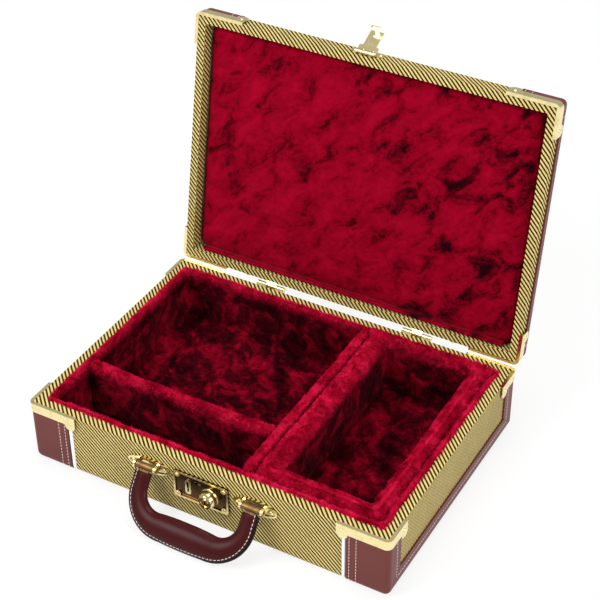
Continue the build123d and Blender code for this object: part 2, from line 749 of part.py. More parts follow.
# Bolt behind the plate: a body round the knob's stem and a finger behind the catch's neck
BOLT_RIGHT = KNOB_X + BOLT_END_ROOM
BOLT_LEFT = HASP_X + CATCH_HEAD / 2 + CATCH_ROOM
FINGER_TOP = CATCH_Z + CATCH_THICKNESS / 2
FINGER_END = HASP_X + CATCH_NECK / 2 + CATCH_ROOM
SEAT_RIGHT = BOLT_LEFT + SPRING_SEAT
SEAT_BOTTOM = SPRING_Z - SPRING_R - SPRING_WIRE_R
with BuildPart() as lock_bolt:
    with BuildSketch(FRONT.offset(-SLIDE_GAP / 2)):
        with BuildLine():
            Polyline(
                (BOLT_LEFT, KNOB_Z - BOLT_HALF_HEIGHT),
                (BOLT_RIGHT, KNOB_Z - BOLT_HALF_HEIGHT),
                (BOLT_RIGHT, KNOB_Z + BOLT_HALF_HEIGHT),
                (SEAT_RIGHT, KNOB_Z + BOLT_HALF_HEIGHT),
                (SEAT_RIGHT, FINGER_TOP),
                (FINGER_END, FINGER_TOP),
                (FINGER_END, FINGER_TOP - CATCH_THICKNESS),
                (BOLT_LEFT, FINGER_TOP - CATCH_THICKNESS),
                close=True,
            )
        make_face()
        with Locations((KNOB_X, KNOB_Z)):
            Circle(KNOB_STEM_R + FIT, mode=Mode.SUBTRACT)
    extrude(amount=-BOLT)
    with BuildSketch(FRONT.offset(-SLIDE_GAP / 2)):
        with Locations((BOLT_LEFT, SEAT_BOTTOM)):
            Rectangle(
                SPRING_SEAT,
                KNOB_Z - BOLT_HALF_HEIGHT - SEAT_BOTTOM,
                align=(Align.MIN, Align.MIN),
            )
    extrude(amount=-BOLT - SPRING_R)
keep("lock_bolt", lock_bolt.part)

# Coil spring between the bolt's seat and the case's right wall
SPRING_TO = LOCK_X + CASE_HALF_LENGTH - CASE_SHEET
SPRING_LENGTH = SPRING_TO - SEAT_RIGHT - 2 * SPRING_WIRE_R - 2 * FIT
SPRING_START = (
    SEAT_RIGHT + SPRING_WIRE_R + FIT,
    -HALF_DEPTH + BOLT + SLIDE_GAP + FIT,
    SPRING_Z,
)
with BuildPart() as lock_spring:
    with BuildLine() as coil:
        Helix(
            SPRING_LENGTH / SPRING_TURNS,
            SPRING_LENGTH,
            SPRING_R,
            center=SPRING_START,
            direction=(1, 0, 0),
        )
    with BuildSketch(Plane(coil.line @ 0, z_dir=coil.line % 0)):
        RegularPolygon(SPRING_WIRE_R, 6)
    sweep(is_frenet=True)
keep("lock_spring", lock_spring.part)

# Knob: a turned bell with a stepped crown, its stem through the plate's slot into the bolt
KNOB_AXIS = Plane((KNOB_X, -HALF_DEPTH - LOCK_FIELD, KNOB_Z), x_dir=(1, 0, 0), z_dir=(0, 0, 1))
STEM_END = LOCK_FIELD + SLIDE_GAP / 2 + BOLT
with BuildPart() as lock_knob:
    with BuildSketch(KNOB_AXIS):
        with BuildLine():
            Polyline(
                (0, STEM_END),
                (KNOB_STEM_R, STEM_END),
                (KNOB_STEM_R, -SLIDE_GAP),
                (KNOB_FOOT_R, -SLIDE_GAP),
                (KNOB_FOOT_R, -KNOB_FOOT),
                (KNOB_NECK_R, -KNOB_NECK),
                (KNOB_SKIRT_R - KNOB_BULGE, -KNOB_SKIRT),
            )
            ThreePointArc(
                (KNOB_SKIRT_R - KNOB_BULGE, -KNOB_SKIRT),
                (KNOB_SKIRT_R, -(KNOB_SKIRT + KNOB_STEP) / 2),
                (KNOB_SKIRT_R - KNOB_BULGE, -KNOB_STEP),
            )
            Polyline(
                (KNOB_SKIRT_R - KNOB_BULGE, -KNOB_STEP),
                (KNOB_STEP_R, -KNOB_STEP),
                (KNOB_CROWN_R, -KNOB_CROWN),
            )
            ThreePointArc(
                (KNOB_CROWN_R, -KNOB_CROWN),
                (
                    (KNOB_CROWN_R + KNOB_TOP_R) / 2 + KNOB_BULGE,
                    -(KNOB_CROWN + KNOB_PROJECTION) / 2,
                ),
                (KNOB_TOP_R, -KNOB_PROJECTION),
            )
            Polyline(
                (KNOB_TOP_R, -KNOB_PROJECTION),
                (INLAY_OUTER_R, -KNOB_PROJECTION),
                (INLAY_OUTER_R, -KNOB_PROJECTION + INLAY_DEPTH),
                (INLAY_INNER_R, -KNOB_PROJECTION + INLAY_DEPTH),
                (INLAY_INNER_R, -KNOB_PROJECTION),
                (0, -KNOB_PROJECTION),
                (0, STEM_END),
            )
        make_face()
    revolve(axis=Axis((KNOB_X, 0, KNOB_Z), (0, 1, 0)))
keep("lock_knob", lock_knob.part)

INLAY_FRONT = LOCK_FIELD + KNOB_PROJECTION - INLAY_DEPTH
with BuildPart() as knob_inlay:
    with BuildSketch(FRONT.offset(INLAY_FRONT)):
        with Locations((KNOB_X, KNOB_Z)):
            Circle(INLAY_OUTER_R - FIT)
            Circle(INLAY_INNER_R + FIT, mode=Mode.SUBTRACT)
    extrude(amount=INLAY_DEPTH / 2)
keep("knob_inlay", knob_inlay.part)

# Hasp: base plate with two loops, and its pin
SIDE_VIEW = Plane(origin=(0, 0, 0), x_dir=(0, 1, 0), z_dir=(1, 0, 0))
HASP_TOP = HASP_AXIS_Z + HASP_BARREL_R
with BuildPart() as hasp_base:
    with BuildSketch(FRONT):
        with Locations((HASP_X, HASP_PLATE_BOTTOM + HASP_PLATE_HEIGHT / 2)):
            RectangleRounded(HASP_PLATE_LENGTH, HASP_PLATE_HEIGHT, LOCK_ROUND)
    extrude(amount=HASP_SHEET)
    for loop_x in (HASP_X - HASP_LOOP_X, HASP_X + HASP_LOOP_X):
        with BuildSketch(SIDE_VIEW.offset(loop_x - HASP_LOOP_WIDTH / 2)):
            with Locations((HASP_AXIS_Y, HASP_AXIS_Z)):
                Circle(HASP_BARREL_R)
            with BuildLine():
                Polyline(
                    (-HALF_DEPTH, HASP_AXIS_Z),
                    (-HALF_DEPTH, HASP_PLATE_BOTTOM + HASP_PLATE_RISE),
                    (-HALF_DEPTH - HASP_SHEET, HASP_PLATE_BOTTOM + HASP_PLATE_RISE),
                    (HASP_AXIS_Y, HASP_TOP),
                    (HASP_AXIS_Y, HASP_AXIS_Z),
                    close=True,
                )
            make_face()
            with Locations((HASP_AXIS_Y, HASP_AXIS_Z)):
                Circle(HASP_PIN_R + FIT / 2, mode=Mode.SUBTRACT)
        extrude(amount=HASP_LOOP_WIDTH)
    with Locations(*HASP_RIVETS):
        Hole(SHANK_R + FIT, SHANK_LENGTH)
keep_on_lid("hasp_base", hasp_base.part)

with BuildPart() as hasp_pin:
    with BuildSketch(SIDE_VIEW.offset(HASP_X - HASP_WIDTH / 2)):
        with Locations((HASP_AXIS_Y, HASP_AXIS_Z)):
            Circle(HASP_PIN_R)
    extrude(amount=HASP_WIDTH)
keep_on_lid("hasp_pin", hasp_pin.part)
keep_on_lid("hasp_rivets", fastener_group(HASP_RIVETS, RIVET_HEAD_R, RIVET_HEAD_H))

# Hasp tongue, drawn hanging over the lock, then swung up to where it rests
TONGUE_END = HASP_AXIS_Z - HASP_REACH
SHOULDER_Z = HASP_AXIS_Z - HASP_SHOULDER
HASP_OUTER = HASP_AXIS_OUT + HASP_BARREL_R
HASP_FACE = FRONT.offset(HASP_OUTER - HASP_SHEET)
CATCH_BACK = BOLT + SLIDE_GAP + CATCH_HEAD_DEPTH
with BuildPart() as hasp_tongue:
    with BuildSketch(HASP_FACE) as sheet:
        with Locations((HASP_X, (HASP_AXIS_Z + SHOULDER_Z) / 2)):
            Rectangle(HASP_WIDTH, HASP_SHOULDER)
        with Locations((HASP_X, (SHOULDER_Z + TONGUE_END) / 2)):
            Rectangle(TONGUE_WIDTH, SHOULDER_Z - TONGUE_END)
        fillet(sheet.vertices().group_by(Axis.Y)[1], HASP_SHEET)
        with Locations(
            (HASP_X - HASP_LOOP_X, HASP_AXIS_Z), (HASP_X + HASP_LOOP_X, HASP_AXIS_Z)
        ):
            Rectangle(
                HASP_LOOP_WIDTH + 2 * HASP_LOOP_GAP, 2 * HASP_WINDOW, mode=Mode.SUBTRACT
            )
    extrude(amount=HASP_SHEET)
    for barrel_from, barrel_to in (
        (-HASP_WIDTH / 2, -HASP_LOOP_X - HASP_LOOP_WIDTH / 2 - HASP_LOOP_GAP),
        (
            -HASP_LOOP_X + HASP_LOOP_WIDTH / 2 + HASP_LOOP_GAP,
            HASP_LOOP_X - HASP_LOOP_WIDTH / 2 - HASP_LOOP_GAP,
        ),
        (HASP_LOOP_X + HASP_LOOP_WIDTH / 2 + HASP_LOOP_GAP, HASP_WIDTH / 2),
    ):
        with BuildSketch(SIDE_VIEW.offset(HASP_X + barrel_from)):
            with Locations((HASP_AXIS_Y, HASP_AXIS_Z)):
                Circle(HASP_BARREL_R)
                Circle(HASP_PIN_R + FIT, mode=Mode.SUBTRACT)
        extrude(amount=barrel_to - barrel_from)
    with BuildSketch(SIDE_VIEW.offset(HASP_X - HASP_WIDTH)):
        with Locations((HASP_AXIS_Y, HASP_AXIS_Z)):
            Circle(HASP_PIN_R + FIT)
    extrude(amount=2 * HASP_WIDTH, mode=Mode.SUBTRACT)
    with BuildSketch(Plane.XY.offset(TONGUE_END)):
        with Locations((HASP_X, -HALF_DEPTH - HASP_OUTER)):
            Rectangle(
                CATCH_NECK, HASP_OUTER + CATCH_BACK, align=(Align.CENTER, Align.MIN)
            )
        with Locations((HASP_X, -HALF_DEPTH + CATCH_BACK)):
            Rectangle(CATCH_HEAD, CATCH_HEAD_DEPTH, align=(Align.CENTER, Align.MAX))
        with Locations((HASP_X, -HALF_DEPTH - HASP_OUTER)):
            Rectangle(CATCH_HEAD, HASP_SHEET, align=(Align.CENTER, Align.MIN))
    extrude(amount=CATCH_THICKNESS)
    with BuildSketch(FRONT.offset(HASP_OUTER)):
        with Locations((HASP_X, (SHOULDER_Z + TONGUE_END) / 2)):
            SlotOverall(EMBOSS_LENGTH, EMBOSS_WIDTH, rotation=90)
    extrude(amount=EMBOSS_RISE, taper=EMBOSS_ANGLE)
HASP_TO_AXIS = Location((0, HASP_AXIS_Y, HASP_AXIS_Z))
HASP_SWING = HASP_TO_AXIS * Location((0, 0, 0), (HASP_LEAN_ANGLE - 180, 0, 0)) * HASP_TO_AXIS.inverse()
keep_on_lid("hasp_tongue", HASP_SWING * hasp_tongue.part)

# Hinges: the base leaf carries the outer knuckles, the lid leaf the middle one and a stop heel


def hinge_knuckles(spans, up, bore):
    """Barrels on the hinge axis, each joined to its leaf above or below by a web."""
    with BuildPart() as knuckles:
        for span_from, span_to in spans:
            with BuildSketch(SIDE_VIEW.offset(span_from)):
                with Locations((HINGE_Y, HINGE_Z)):
                    Circle(HINGE_BARREL_R)
                with BuildLine():
                    Polyline(
                        (HALF_DEPTH, HINGE_Z + up * LEAF_START),
                        (HALF_DEPTH, HINGE_Z + up * RIM_GAP / 2),
                        (HINGE_Y - HINGE_PIN_R, HINGE_Z - up * HINGE_PIN_R),
                        (HINGE_Y, HINGE_Z),
                        (HINGE_Y - HINGE_PIN_R / 2, HINGE_Z + up * LEAF_WEB),
                        (HALF_DEPTH + LEAF, HINGE_Z + up * LEAF_START),
                        close=True,
                    )
                make_face()
                with Locations((HINGE_Y, HINGE_Z)):
                    Circle(bore, mode=Mode.SUBTRACT)
            extrude(amount=span_to - span_from)
    return knuckles.part


def hinge_leaf(middle_x, height, up, rivets, knuckles):
    """A flat leaf on the back face with its knuckles."""
    with BuildPart() as leaf:
        with BuildSketch(BACK) as leaf_face:
            with Locations((-middle_x, HINGE_Z + up * (LEAF_START + height / 2))):
                Rectangle(HINGE_LENGTH, height)
            far = leaf_face.vertices().sort_by(Axis.Y)
            fillet(far[-2:] if up > 0 else far[:2], LEAF_ROUND)
        extrude(amount=LEAF)
        add(knuckles)
        with Locations(*rivets):
            Hole(SHANK_R + FIT, SHANK_LENGTH)
    return leaf.part


for hand, middle_x in (("left", -HINGE_X), ("right", HINGE_X)):
    outer = HINGE_LENGTH / 2
    inner = KNUCKLE / 2 + KNUCKLE_GAP
    base_spans = (
        (middle_x - outer, middle_x - inner),
        (middle_x + inner, middle_x + outer),
    )
    lid_spans = ((middle_x - KNUCKLE / 2, middle_x + KNUCKLE / 2),)
    base_knuckles = hinge_knuckles(base_spans, -1, HINGE_PIN_R + FIT / 2)
    lid_knuckle = hinge_knuckles(lid_spans, 1, HINGE_PIN_R + FIT)
    base_leaf = hinge_leaf(middle_x, BASE_LEAF, -1, BASE_HINGE_RIVETS, base_knuckles)
    lid_leaf = hinge_leaf(middle_x, LID_LEAF, 1, LID_HINGE_RIVETS, lid_knuckle)
    keep(f"hinge_base_leaf_{hand}", base_leaf)
    with BuildPart() as stopped_leaf:
        with BuildSketch(SIDE_VIEW.offset(middle_x - KNUCKLE / 2)):
            with BuildLine():
                Polyline(
                    (HALF_DEPTH + LEAF + STOP_GAP, HINGE_Z - LEAF_START),
                    (HALF_DEPTH + LEAF + STOP_GAP, HINGE_Z - LEAF_START - STOP_HEEL),
                    (HINGE_Y + HINGE_PIN_R, HINGE_Z - STOP_WEB),
                    (HINGE_Y, HINGE_Z - HINGE_PIN_R - FIT),
                    (HINGE_Y - STOP_WEB, HINGE_Z - HINGE_PIN_R),
                    close=True,
                )
            make_face()
        extrude(amount=KNUCKLE)
        add(LID_SWING * lid_leaf)
    keep(f"hinge_lid_leaf_{hand}", stopped_leaf.part)
    with BuildPart() as hinge_pin:
        with BuildSketch(SIDE_VIEW.offset(middle_x - outer)):
            with Locations((HINGE_Y, HINGE_Z)):
                Circle(HINGE_PIN_R)
        extrude(amount=HINGE_LENGTH)
    keep(f"hinge_pin_{hand}", hinge_pin.part)

keep("hinge_base_rivets", fastener_group(BASE_HINGE_RIVETS, RIVET_HEAD_R, RIVET_HEAD_H))
keep_on_lid("hinge_lid_rivets", fastener_group(LID_HINGE_RIVETS, RIVET_HEAD_R, RIVET_HEAD_H))
keep("base_feet", fastener_group(BASE_FEET, FOOT_R, FOOT_HEIGHT))
keep_on_lid("lid_feet", fastener_group(LID_FEET, FOOT_R, FOOT_HEIGHT))

# Handle brackets: oval plates with a thick rim and two rings that hold the pin
HANDLE_PIN_Y = -HALF_DEPTH - HANDLE_PIN_OUT
keep("bracket_rivets", fastener_group(BRACKET_RIVETS, RIVET_HEAD_R, RIVET_HEAD_H))
RING_FROM = SLEEVE_LENGTH / 2 + SLIDE_GAP
for hand, middle_x in (("left", -BRACKET_X), ("right", BRACKET_X)):
    with BuildPart() as bracket:
        with BuildSketch(FRONT):
            with Locations((middle_x, BRACKET_Z)):
                Ellipse(BRACKET_LENGTH / 2, BRACKET_HEIGHT / 2)
        extrude(amount=BRACKET_SHEET)
        with BuildSketch(FRONT.offset(BRACKET_SHEET)):
            with Locations((middle_x, BRACKET_Z)):
                Ellipse(BRACKET_LENGTH / 2, BRACKET_HEIGHT / 2)
                Ellipse(
                    BRACKET_LENGTH / 2 - BRACKET_RIM,
                    BRACKET_HEIGHT / 2 - BRACKET_RIM,
                    mode=Mode.SUBTRACT,
                )
        extrude(amount=BRACKET_RIM_RISE)
        for ring_x in (middle_x - RING_FROM - EAR_RING_WIDTH, middle_x + RING_FROM):
            with BuildSketch(SIDE_VIEW.offset(ring_x)):
                with Locations((HANDLE_PIN_Y, HANDLE_PIN_Z)):
                    Circle(EAR_RING_R)
                with Locations((-HALF_DEPTH, HANDLE_PIN_Z)):
                    Rectangle(
                        HANDLE_PIN_OUT,
                        2 * (EAR_RING_R - EAR_RING_WIDTH / 2),
                        align=(Align.MAX, Align.CENTER),
                    )
                with Locations((HANDLE_PIN_Y, HANDLE_PIN_Z)):
                    Circle(HANDLE_PIN_R + FIT / 2, mode=Mode.SUBTRACT)
            extrude(amount=EAR_RING_WIDTH)
        with Locations(*BRACKET_RIVETS):
            Hole(SHANK_R + FIT, SHANK_LENGTH)
    keep(f"handle_bracket_{hand}", bracket.part)
    with BuildPart() as handle_pin:
        with BuildSketch(SIDE_VIEW.offset(middle_x - RING_FROM - EAR_RING_WIDTH)):
            with Locations((HANDLE_PIN_Y, HANDLE_PIN_Z)):
                Circle(HANDLE_PIN_R)
        extrude(amount=2 * (RING_FROM + EAR_RING_WIDTH))
    keep(f"handle_pin_{hand}", handle_pin.part)

# Handle, drawn in the plane through both pins in which it hangs
DROOP = radians(HANDLE_DROOP_ANGLE)
HANDLE = Plane(
    (0, HANDLE_PIN_Y, HANDLE_PIN_Z), x_dir=(1, 0, 0), z_dir=(0, sin(DROOP), -cos(DROOP))
)
BEND_Y = GRIP_REACH - GRIP_BEND
BEND_X = BRACKET_X - GRIP_BEND


def handle_path(start):
    """Half of the middle line of the handle, from the left leg to the middle of the grip."""
    with BuildLine(HANDLE) as path:
        leg = Line((-BRACKET_X, start), (-BRACKET_X, BEND_Y))
        bend = RadiusArc(leg @ 1, (-BEND_X, GRIP_REACH), GRIP_BEND)
        Line(bend @ 1, (0, GRIP_REACH))
    return path.line


def section_plane(x, y, direction_x, direction_y):
    """A plane across the handle at a point of its own plane."""
    along = HANDLE.x_dir * direction_x + HANDLE.y_dir * direction_y
    across = HANDLE.x_dir * direction_y - HANDLE.y_dir * direction_x
    return Plane(HANDLE.from_local_coords(Vector(x, y, 0)), x_dir=across, z_dir=along)


core_line = handle_path(CORE_START)
with BuildPart() as core_half:
    with BuildSketch(section_plane(-BRACKET_X, CORE_START, 0, 1)):
        Rectangle(CORE_WIDTH, CORE_THICKNESS)
    sweep(path=core_line)
    with BuildSketch(SIDE_VIEW.offset(-BRACKET_X - SLEEVE_LENGTH / 2)):
        with Locations((HANDLE_PIN_Y, HANDLE_PIN_Z)):
            Circle(SLEEVE_R)
    extrude(amount=SLEEVE_LENGTH)
    with BuildSketch(SIDE_VIEW.offset(-BRACKET_X - SLEEVE_LENGTH / 2)):
        with Locations((HANDLE_PIN_Y, HANDLE_PIN_Z)):
            Circle(HANDLE_PIN_R + FIT)
    extrude(amount=SLEEVE_LENGTH, mode=Mode.SUBTRACT)
    mirror(about=Plane.YZ)
keep("handle_core", core_half.part)

cover_line = handle_path(COVER_START)
with BuildPart() as handle_cover:
    with BuildSketch(section_plane(-BRACKET_X, COVER_START, 0, 1)):
        Ellipse(LEG_HALF_WIDTH, LEG_HALF_THICKNESS)
    with BuildSketch(section_plane(-BRACKET_X, BEND_Y, 0, 1)):
        Ellipse(
            (2 * LEG_HALF_WIDTH + GRIP_HALF_WIDTH) / 3,
            (2 * LEG_HALF_THICKNESS + GRIP_HALF_THICKNESS) / 3,
        )
    with BuildSketch(section_plane(-BEND_X, GRIP_REACH, 1, 0)):
        Ellipse(
            (LEG_HALF_WIDTH + 3 * GRIP_HALF_WIDTH) / 4,
            (LEG_HALF_THICKNESS + 3 * GRIP_HALF_THICKNESS) / 4,
        )
    with BuildSketch(section_plane(0, GRIP_REACH, 1, 0)):
        Ellipse(GRIP_HALF_WIDTH, GRIP_HALF_THICKNESS)
    sweep(path=cover_line, multisection=True)
    with BuildSketch(HANDLE.offset(-SEAM_THICKNESS / 2)) as seam:
        with BuildLine():
            outer_leg = BRACKET_X + LEG_HALF_WIDTH + SEAM_EDGE
            outer_grip = GRIP_REACH + GRIP_HALF_WIDTH + SEAM_EDGE
            outer_bend = GRIP_BEND + LEG_HALF_WIDTH
            rise = Line((-outer_leg, COVER_START), (-outer_leg, outer_grip - outer_bend))
            turn = RadiusArc(rise @ 1, (outer_bend - outer_leg, outer_grip), outer_bend)
            across = Line(turn @ 1, (0, outer_grip))
            back = Line(across @ 1, (0, GRIP_REACH))
            inner = Line(back @ 1, (-BEND_X, GRIP_REACH))
            unturn = RadiusArc(inner @ 1, (-BRACKET_X, BEND_Y), -GRIP_BEND)
            fall = Line(unturn @ 1, (-BRACKET_X, COVER_START))
            Line(fall @ 1, rise @ 0)
        make_face()
    extrude(amount=SEAM_THICKNESS)
    with BuildSketch(section_plane(-BRACKET_X, COVER_START, 0, 1)):
        Rectangle(CORE_WIDTH + 2 * FIT, CORE_THICKNESS + 2 * FIT)
    sweep(path=cover_line, mode=Mode.SUBTRACT)
    mirror(about=Plane.YZ)
keep("handle_cover", handle_cover.part)

os.makedirs("parts", exist_ok=True)
for name, part in pieces.items():
    export_step(part, f"parts/{name}.step")
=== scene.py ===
import json
from math import cos, pi, radians, sin, tau

import bmesh
import bpy
from mathutils import Matrix, Vector, noise
from mathutils.kdtree import KDTree


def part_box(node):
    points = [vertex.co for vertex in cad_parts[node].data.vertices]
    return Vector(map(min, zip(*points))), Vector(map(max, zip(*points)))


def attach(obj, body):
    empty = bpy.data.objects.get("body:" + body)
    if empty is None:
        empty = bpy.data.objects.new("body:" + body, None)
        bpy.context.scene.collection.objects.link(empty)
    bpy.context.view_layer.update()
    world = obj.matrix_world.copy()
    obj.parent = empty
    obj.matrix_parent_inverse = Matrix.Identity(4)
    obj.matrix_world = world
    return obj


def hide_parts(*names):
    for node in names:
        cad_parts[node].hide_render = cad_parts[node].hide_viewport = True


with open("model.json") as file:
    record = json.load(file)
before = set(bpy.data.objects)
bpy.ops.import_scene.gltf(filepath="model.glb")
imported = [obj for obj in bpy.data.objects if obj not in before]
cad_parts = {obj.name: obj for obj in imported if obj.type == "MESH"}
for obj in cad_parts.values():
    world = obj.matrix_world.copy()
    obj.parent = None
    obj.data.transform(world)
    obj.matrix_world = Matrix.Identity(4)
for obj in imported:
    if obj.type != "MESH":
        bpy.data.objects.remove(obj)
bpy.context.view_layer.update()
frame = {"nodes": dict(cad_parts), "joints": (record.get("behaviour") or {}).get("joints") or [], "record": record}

# A tweed covered case with a hinged lid and a plush lining, open on a plain pale floor. Metres.
MM = 0.001


def centre(node):
    """The middle of a CAD node's box."""
    low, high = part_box(node)
    return (low + high) / 2


# Camera
AZIMUTH = radians(29.85)
ELEVATION = radians(36.915)
ROLL = radians(-0.573)
LENS = 97.86
SENSOR = 36.0
LOOK_AT = Vector((0.0201, 0.0079, 0.1511))
DISTANCE = 1.3

# Studio: floor, white surroundings as a light, and each lamp's name, place, size and power
FLOOR_LEVEL = -0.0008
FLOOR_HALF = 6.0
FLOOR_GLOW = 0.8
AMBIENT = 0.45
LAMPS = (
    ("key_lamp", (-0.9, -1.3, 1.5), 0.9, 26.0),
    ("side_lamp", (1.5, -0.5, 0.9), 0.9, 12.0),
    ("top_lamp", (0.1, 0.3, 1.9), 1.0, 16.0),
)
LAMP_AIM = Vector((0, 0, 0.1))

# The case: outside of the cloth, and the lid's turn about the hinge pins
HALF_LENGTH, HALF_DEPTH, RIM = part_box("base_tweed_cover")[1]
HINGE = centre("hinge_pin_left")
HINGE.x = 0
OPENING = radians(next(j for j in frame["joints"] if j["name"] == "lid_hinge")["range_deg"][1])
RIM_GAP = 2 * (HINGE.z - RIM)
LID_RIM = RIM + RIM_GAP
LID_HEIGHT = 21 * MM

# End bands: thickness of the vinyl, where the band starts, and its upright borders on the ends
VINYL = 1.6 * MM
BAND_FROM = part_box("base_end_band_right")[0].x
UPRIGHT_BORDER = 18 * MM

# Inside of the closed lid: its wall, the plush panel, and the hem at the hinge side
LID_MOUTH = 7.8 * MM
PANEL_FOOT = LID_RIM + 16.2 * MM
PANEL_EDGE = LID_RIM + 9.0 * MM
PANEL_CROWN = LID_RIM + 6.2 * MM
HEM_OUT = 107.1 * MM
HEM_IN = 103.4 * MM
HEM_CREST = LID_RIM + 2.2 * MM

# Dimple of the panel, its place with the lid closed
DIMPLE = (137.2 * MM, -99.9 * MM, PANEL_EDGE)
DIMPLE_RADIUS = 4.5 * MM
DIMPLE_DEPTH = 2.6 * MM

# Padded frame of the right compartment, and its raised back
FRAME_WALL = 18.5 * MM
FRAME_BACK = 9.0 * MM
FRAME_TOP = RIM + 4.5 * MM
FRAME_CROWN = 7.6 * MM
BACK_TOP = RIM + 7.5 * MM
BACK_CROWN = 4 * MM

# Cloth and thread
STRIPE_PITCH = 4.4 * MM
THREAD_PITCH = 0.75 * MM
STITCH_SPACING = 3.3 * MM
STITCH_LENGTH = 2.5 * MM
STITCH_WIDTH = 0.55 * MM
# Rows of stitches, from the edges of the band and of the border, and clear of the brass
BAND_ROWS = (3.0 * MM, 9.0 * MM)
END_ROW = 6.2 * MM
STRIP_CLEAR = 9 * MM

# Meshes of the padding: from point to point round a ring, and from ring to ring
PERIMETER_STEP = 1.7 * MM
ROW_STEP = 2 * MM
# Clumps of the plush to a metre, and a shift that keeps the small ones apart from the broad ones
BROAD_CLUMPS = 60.0
SMALL_CLUMPS = 330.0
SMALL_SHIFT = Vector((3.1, 7.7, 1.3))

# Cloth simulation. A pad starts smaller by SLACK all round, and no point moves beyond the reach.
SETTLE_FRAMES = 20
CLOTH_VOXEL = 4 * MM
CLOTH_PRESSURE = 4.0
CLOTH_REACH = 1.2 * MM
CLOTH_NEIGHBOURS = 5
CLOTH_NEAREST = 1 * MM
SLACK = 0.8 * MM

# Tufts: number to a square metre, size, lean along the swirls, and gap under the closed lid
TUFTS_PER_AREA = 1.1e6
TUFT_LENGTH = 2.6 * MM
TUFT_WIDTH = 1.1 * MM
TUFT_LEAN = 5.0
TUFT_SEED = 7
SWIRLS = 90.0
LID_CLEAR = 0.3 * MM

# Piping: half of its width, how far its crest stands over the cloth, and its distance to the band
PIPING_HALF = 1.7 * MM
PIPING_CREST = 1.55 * MM
PIPING_GROOVE = 0.5 * MM
PIPING_POINTS = 11

# Handle, in the plane in which it hangs: out from the pins, and up square to that
GRIP_PIN = centre("handle_pin_left")
BRACKET_X = -GRIP_PIN.x
DROOP = radians(53.5)
GRIP_OUT = Vector((0, -cos(DROOP), -sin(DROOP)))
GRIP_UP = Vector((0, -sin(DROOP), cos(DROOP)))
GRIP_REACH = 41.3 * MM
GRIP_BEND = 24.4 * MM
COVER_START = 4.6 * MM
# Its leather: points round it, where it swells as shares of its half, and its sewn flange
COVER_SIDES = 56
SWELL_FROM = 0.08
SWELL_LENGTH = 0.85
FLANGE_REACH = 0.9 * MM
FLANGE_HALF = 1.3 * MM
HANDLE_ROW = 1.9 * MM


def swing(point):
    """A point of the closed lid, where the open lid carries it."""
    return HINGE + Matrix.Rotation(-OPENING, 3, "X") @ (Vector(point) - HINGE)


def on_lid(point):
    """A point of the lid drawn rim upwards, where the open lid has it."""
    x, y, z = point
    return swing((x, -y, LID_RIM + LID_HEIGHT - z))


class Half:
    """The base or the lid as drawn rim upwards, and where its points are placed."""

    def __init__(self, body, height, edge, underside, border, placed):
        self.body = body
        self.height = height
        self.edge = edge
        self.underside = underside
        self.border = border
        self.placed = placed


# Height of the rim, round of the lower edges, underside of the vinyl, and its border on the ends
BASE = Half("base", RIM, 6.6 * MM, 0.0, 18 * MM, Vector)
LID = Half("lid", LID_HEIGHT, 7.6 * MM, -VINYL, 11 * MM, on_lid)


class Value:
    """An output of a material's node. Arithmetic on it adds Math nodes."""

    def __init__(self, finish, socket):
        self.finish = finish
        self.socket = socket

    def math(self, operation, *terms):
        return self.finish.node("Math", {"operation": operation}, dict(enumerate(terms)))

    def __add__(self, other):
        return self.math("ADD", self, other)

    def __radd__(self, other):
        return self.math("ADD", other, self)

    def __sub__(self, other):
        return self.math("SUBTRACT", self, other)

    def __rsub__(self, other):
        return self.math("SUBTRACT", other, self)

    def __mul__(self, other):
        return self.math("MULTIPLY", self, other)

    def __rmul__(self, other):
        return self.math("MULTIPLY", other, self)

    def __gt__(self, other):
        return self.math("GREATER_THAN", self, other)

    def __lt__(self, other):
        return self.math("LESS_THAN", self, other)

    def __abs__(self):
        return self.math("ABSOLUTE", self)

    def root(self):
        return self.math("SQRT", self)

    def sign(self):
        return self.math("SIGN", self)

    def sine(self):
        return self.math("SINE", self)

    def parts(self):
        outputs = add_node(self.finish.tree, "ShaderNodeSeparateXYZ", {}, {0: self})
        return [Value(self.finish, out) for out in outputs]


def choose(flag, first, second):
    """The first value where the flag is 1, the second where it is 0."""
    return flag * first + (1 - flag) * second


def feed(tree, socket, value):
    """Give an input a number, a colour of three parts, or another node's output."""
    if isinstance(value, Value):
        value = value.socket
    if isinstance(value, bpy.types.NodeSocket):
        tree.links.new(value, socket)
    elif socket.type == "RGBA":
        socket.default_value = (*value, 1.0)
    else:
        socket.default_value = value


def add_node(tree, kind, settings, values):
    """The outputs of a new node, whose settings and then inputs are set."""
    made = tree.nodes.new(kind)
    for key, value in settings.items():
        setattr(made, key, value)
    for key, value in values.items():
        feed(tree, made.inputs[key], value)
    return made.outputs


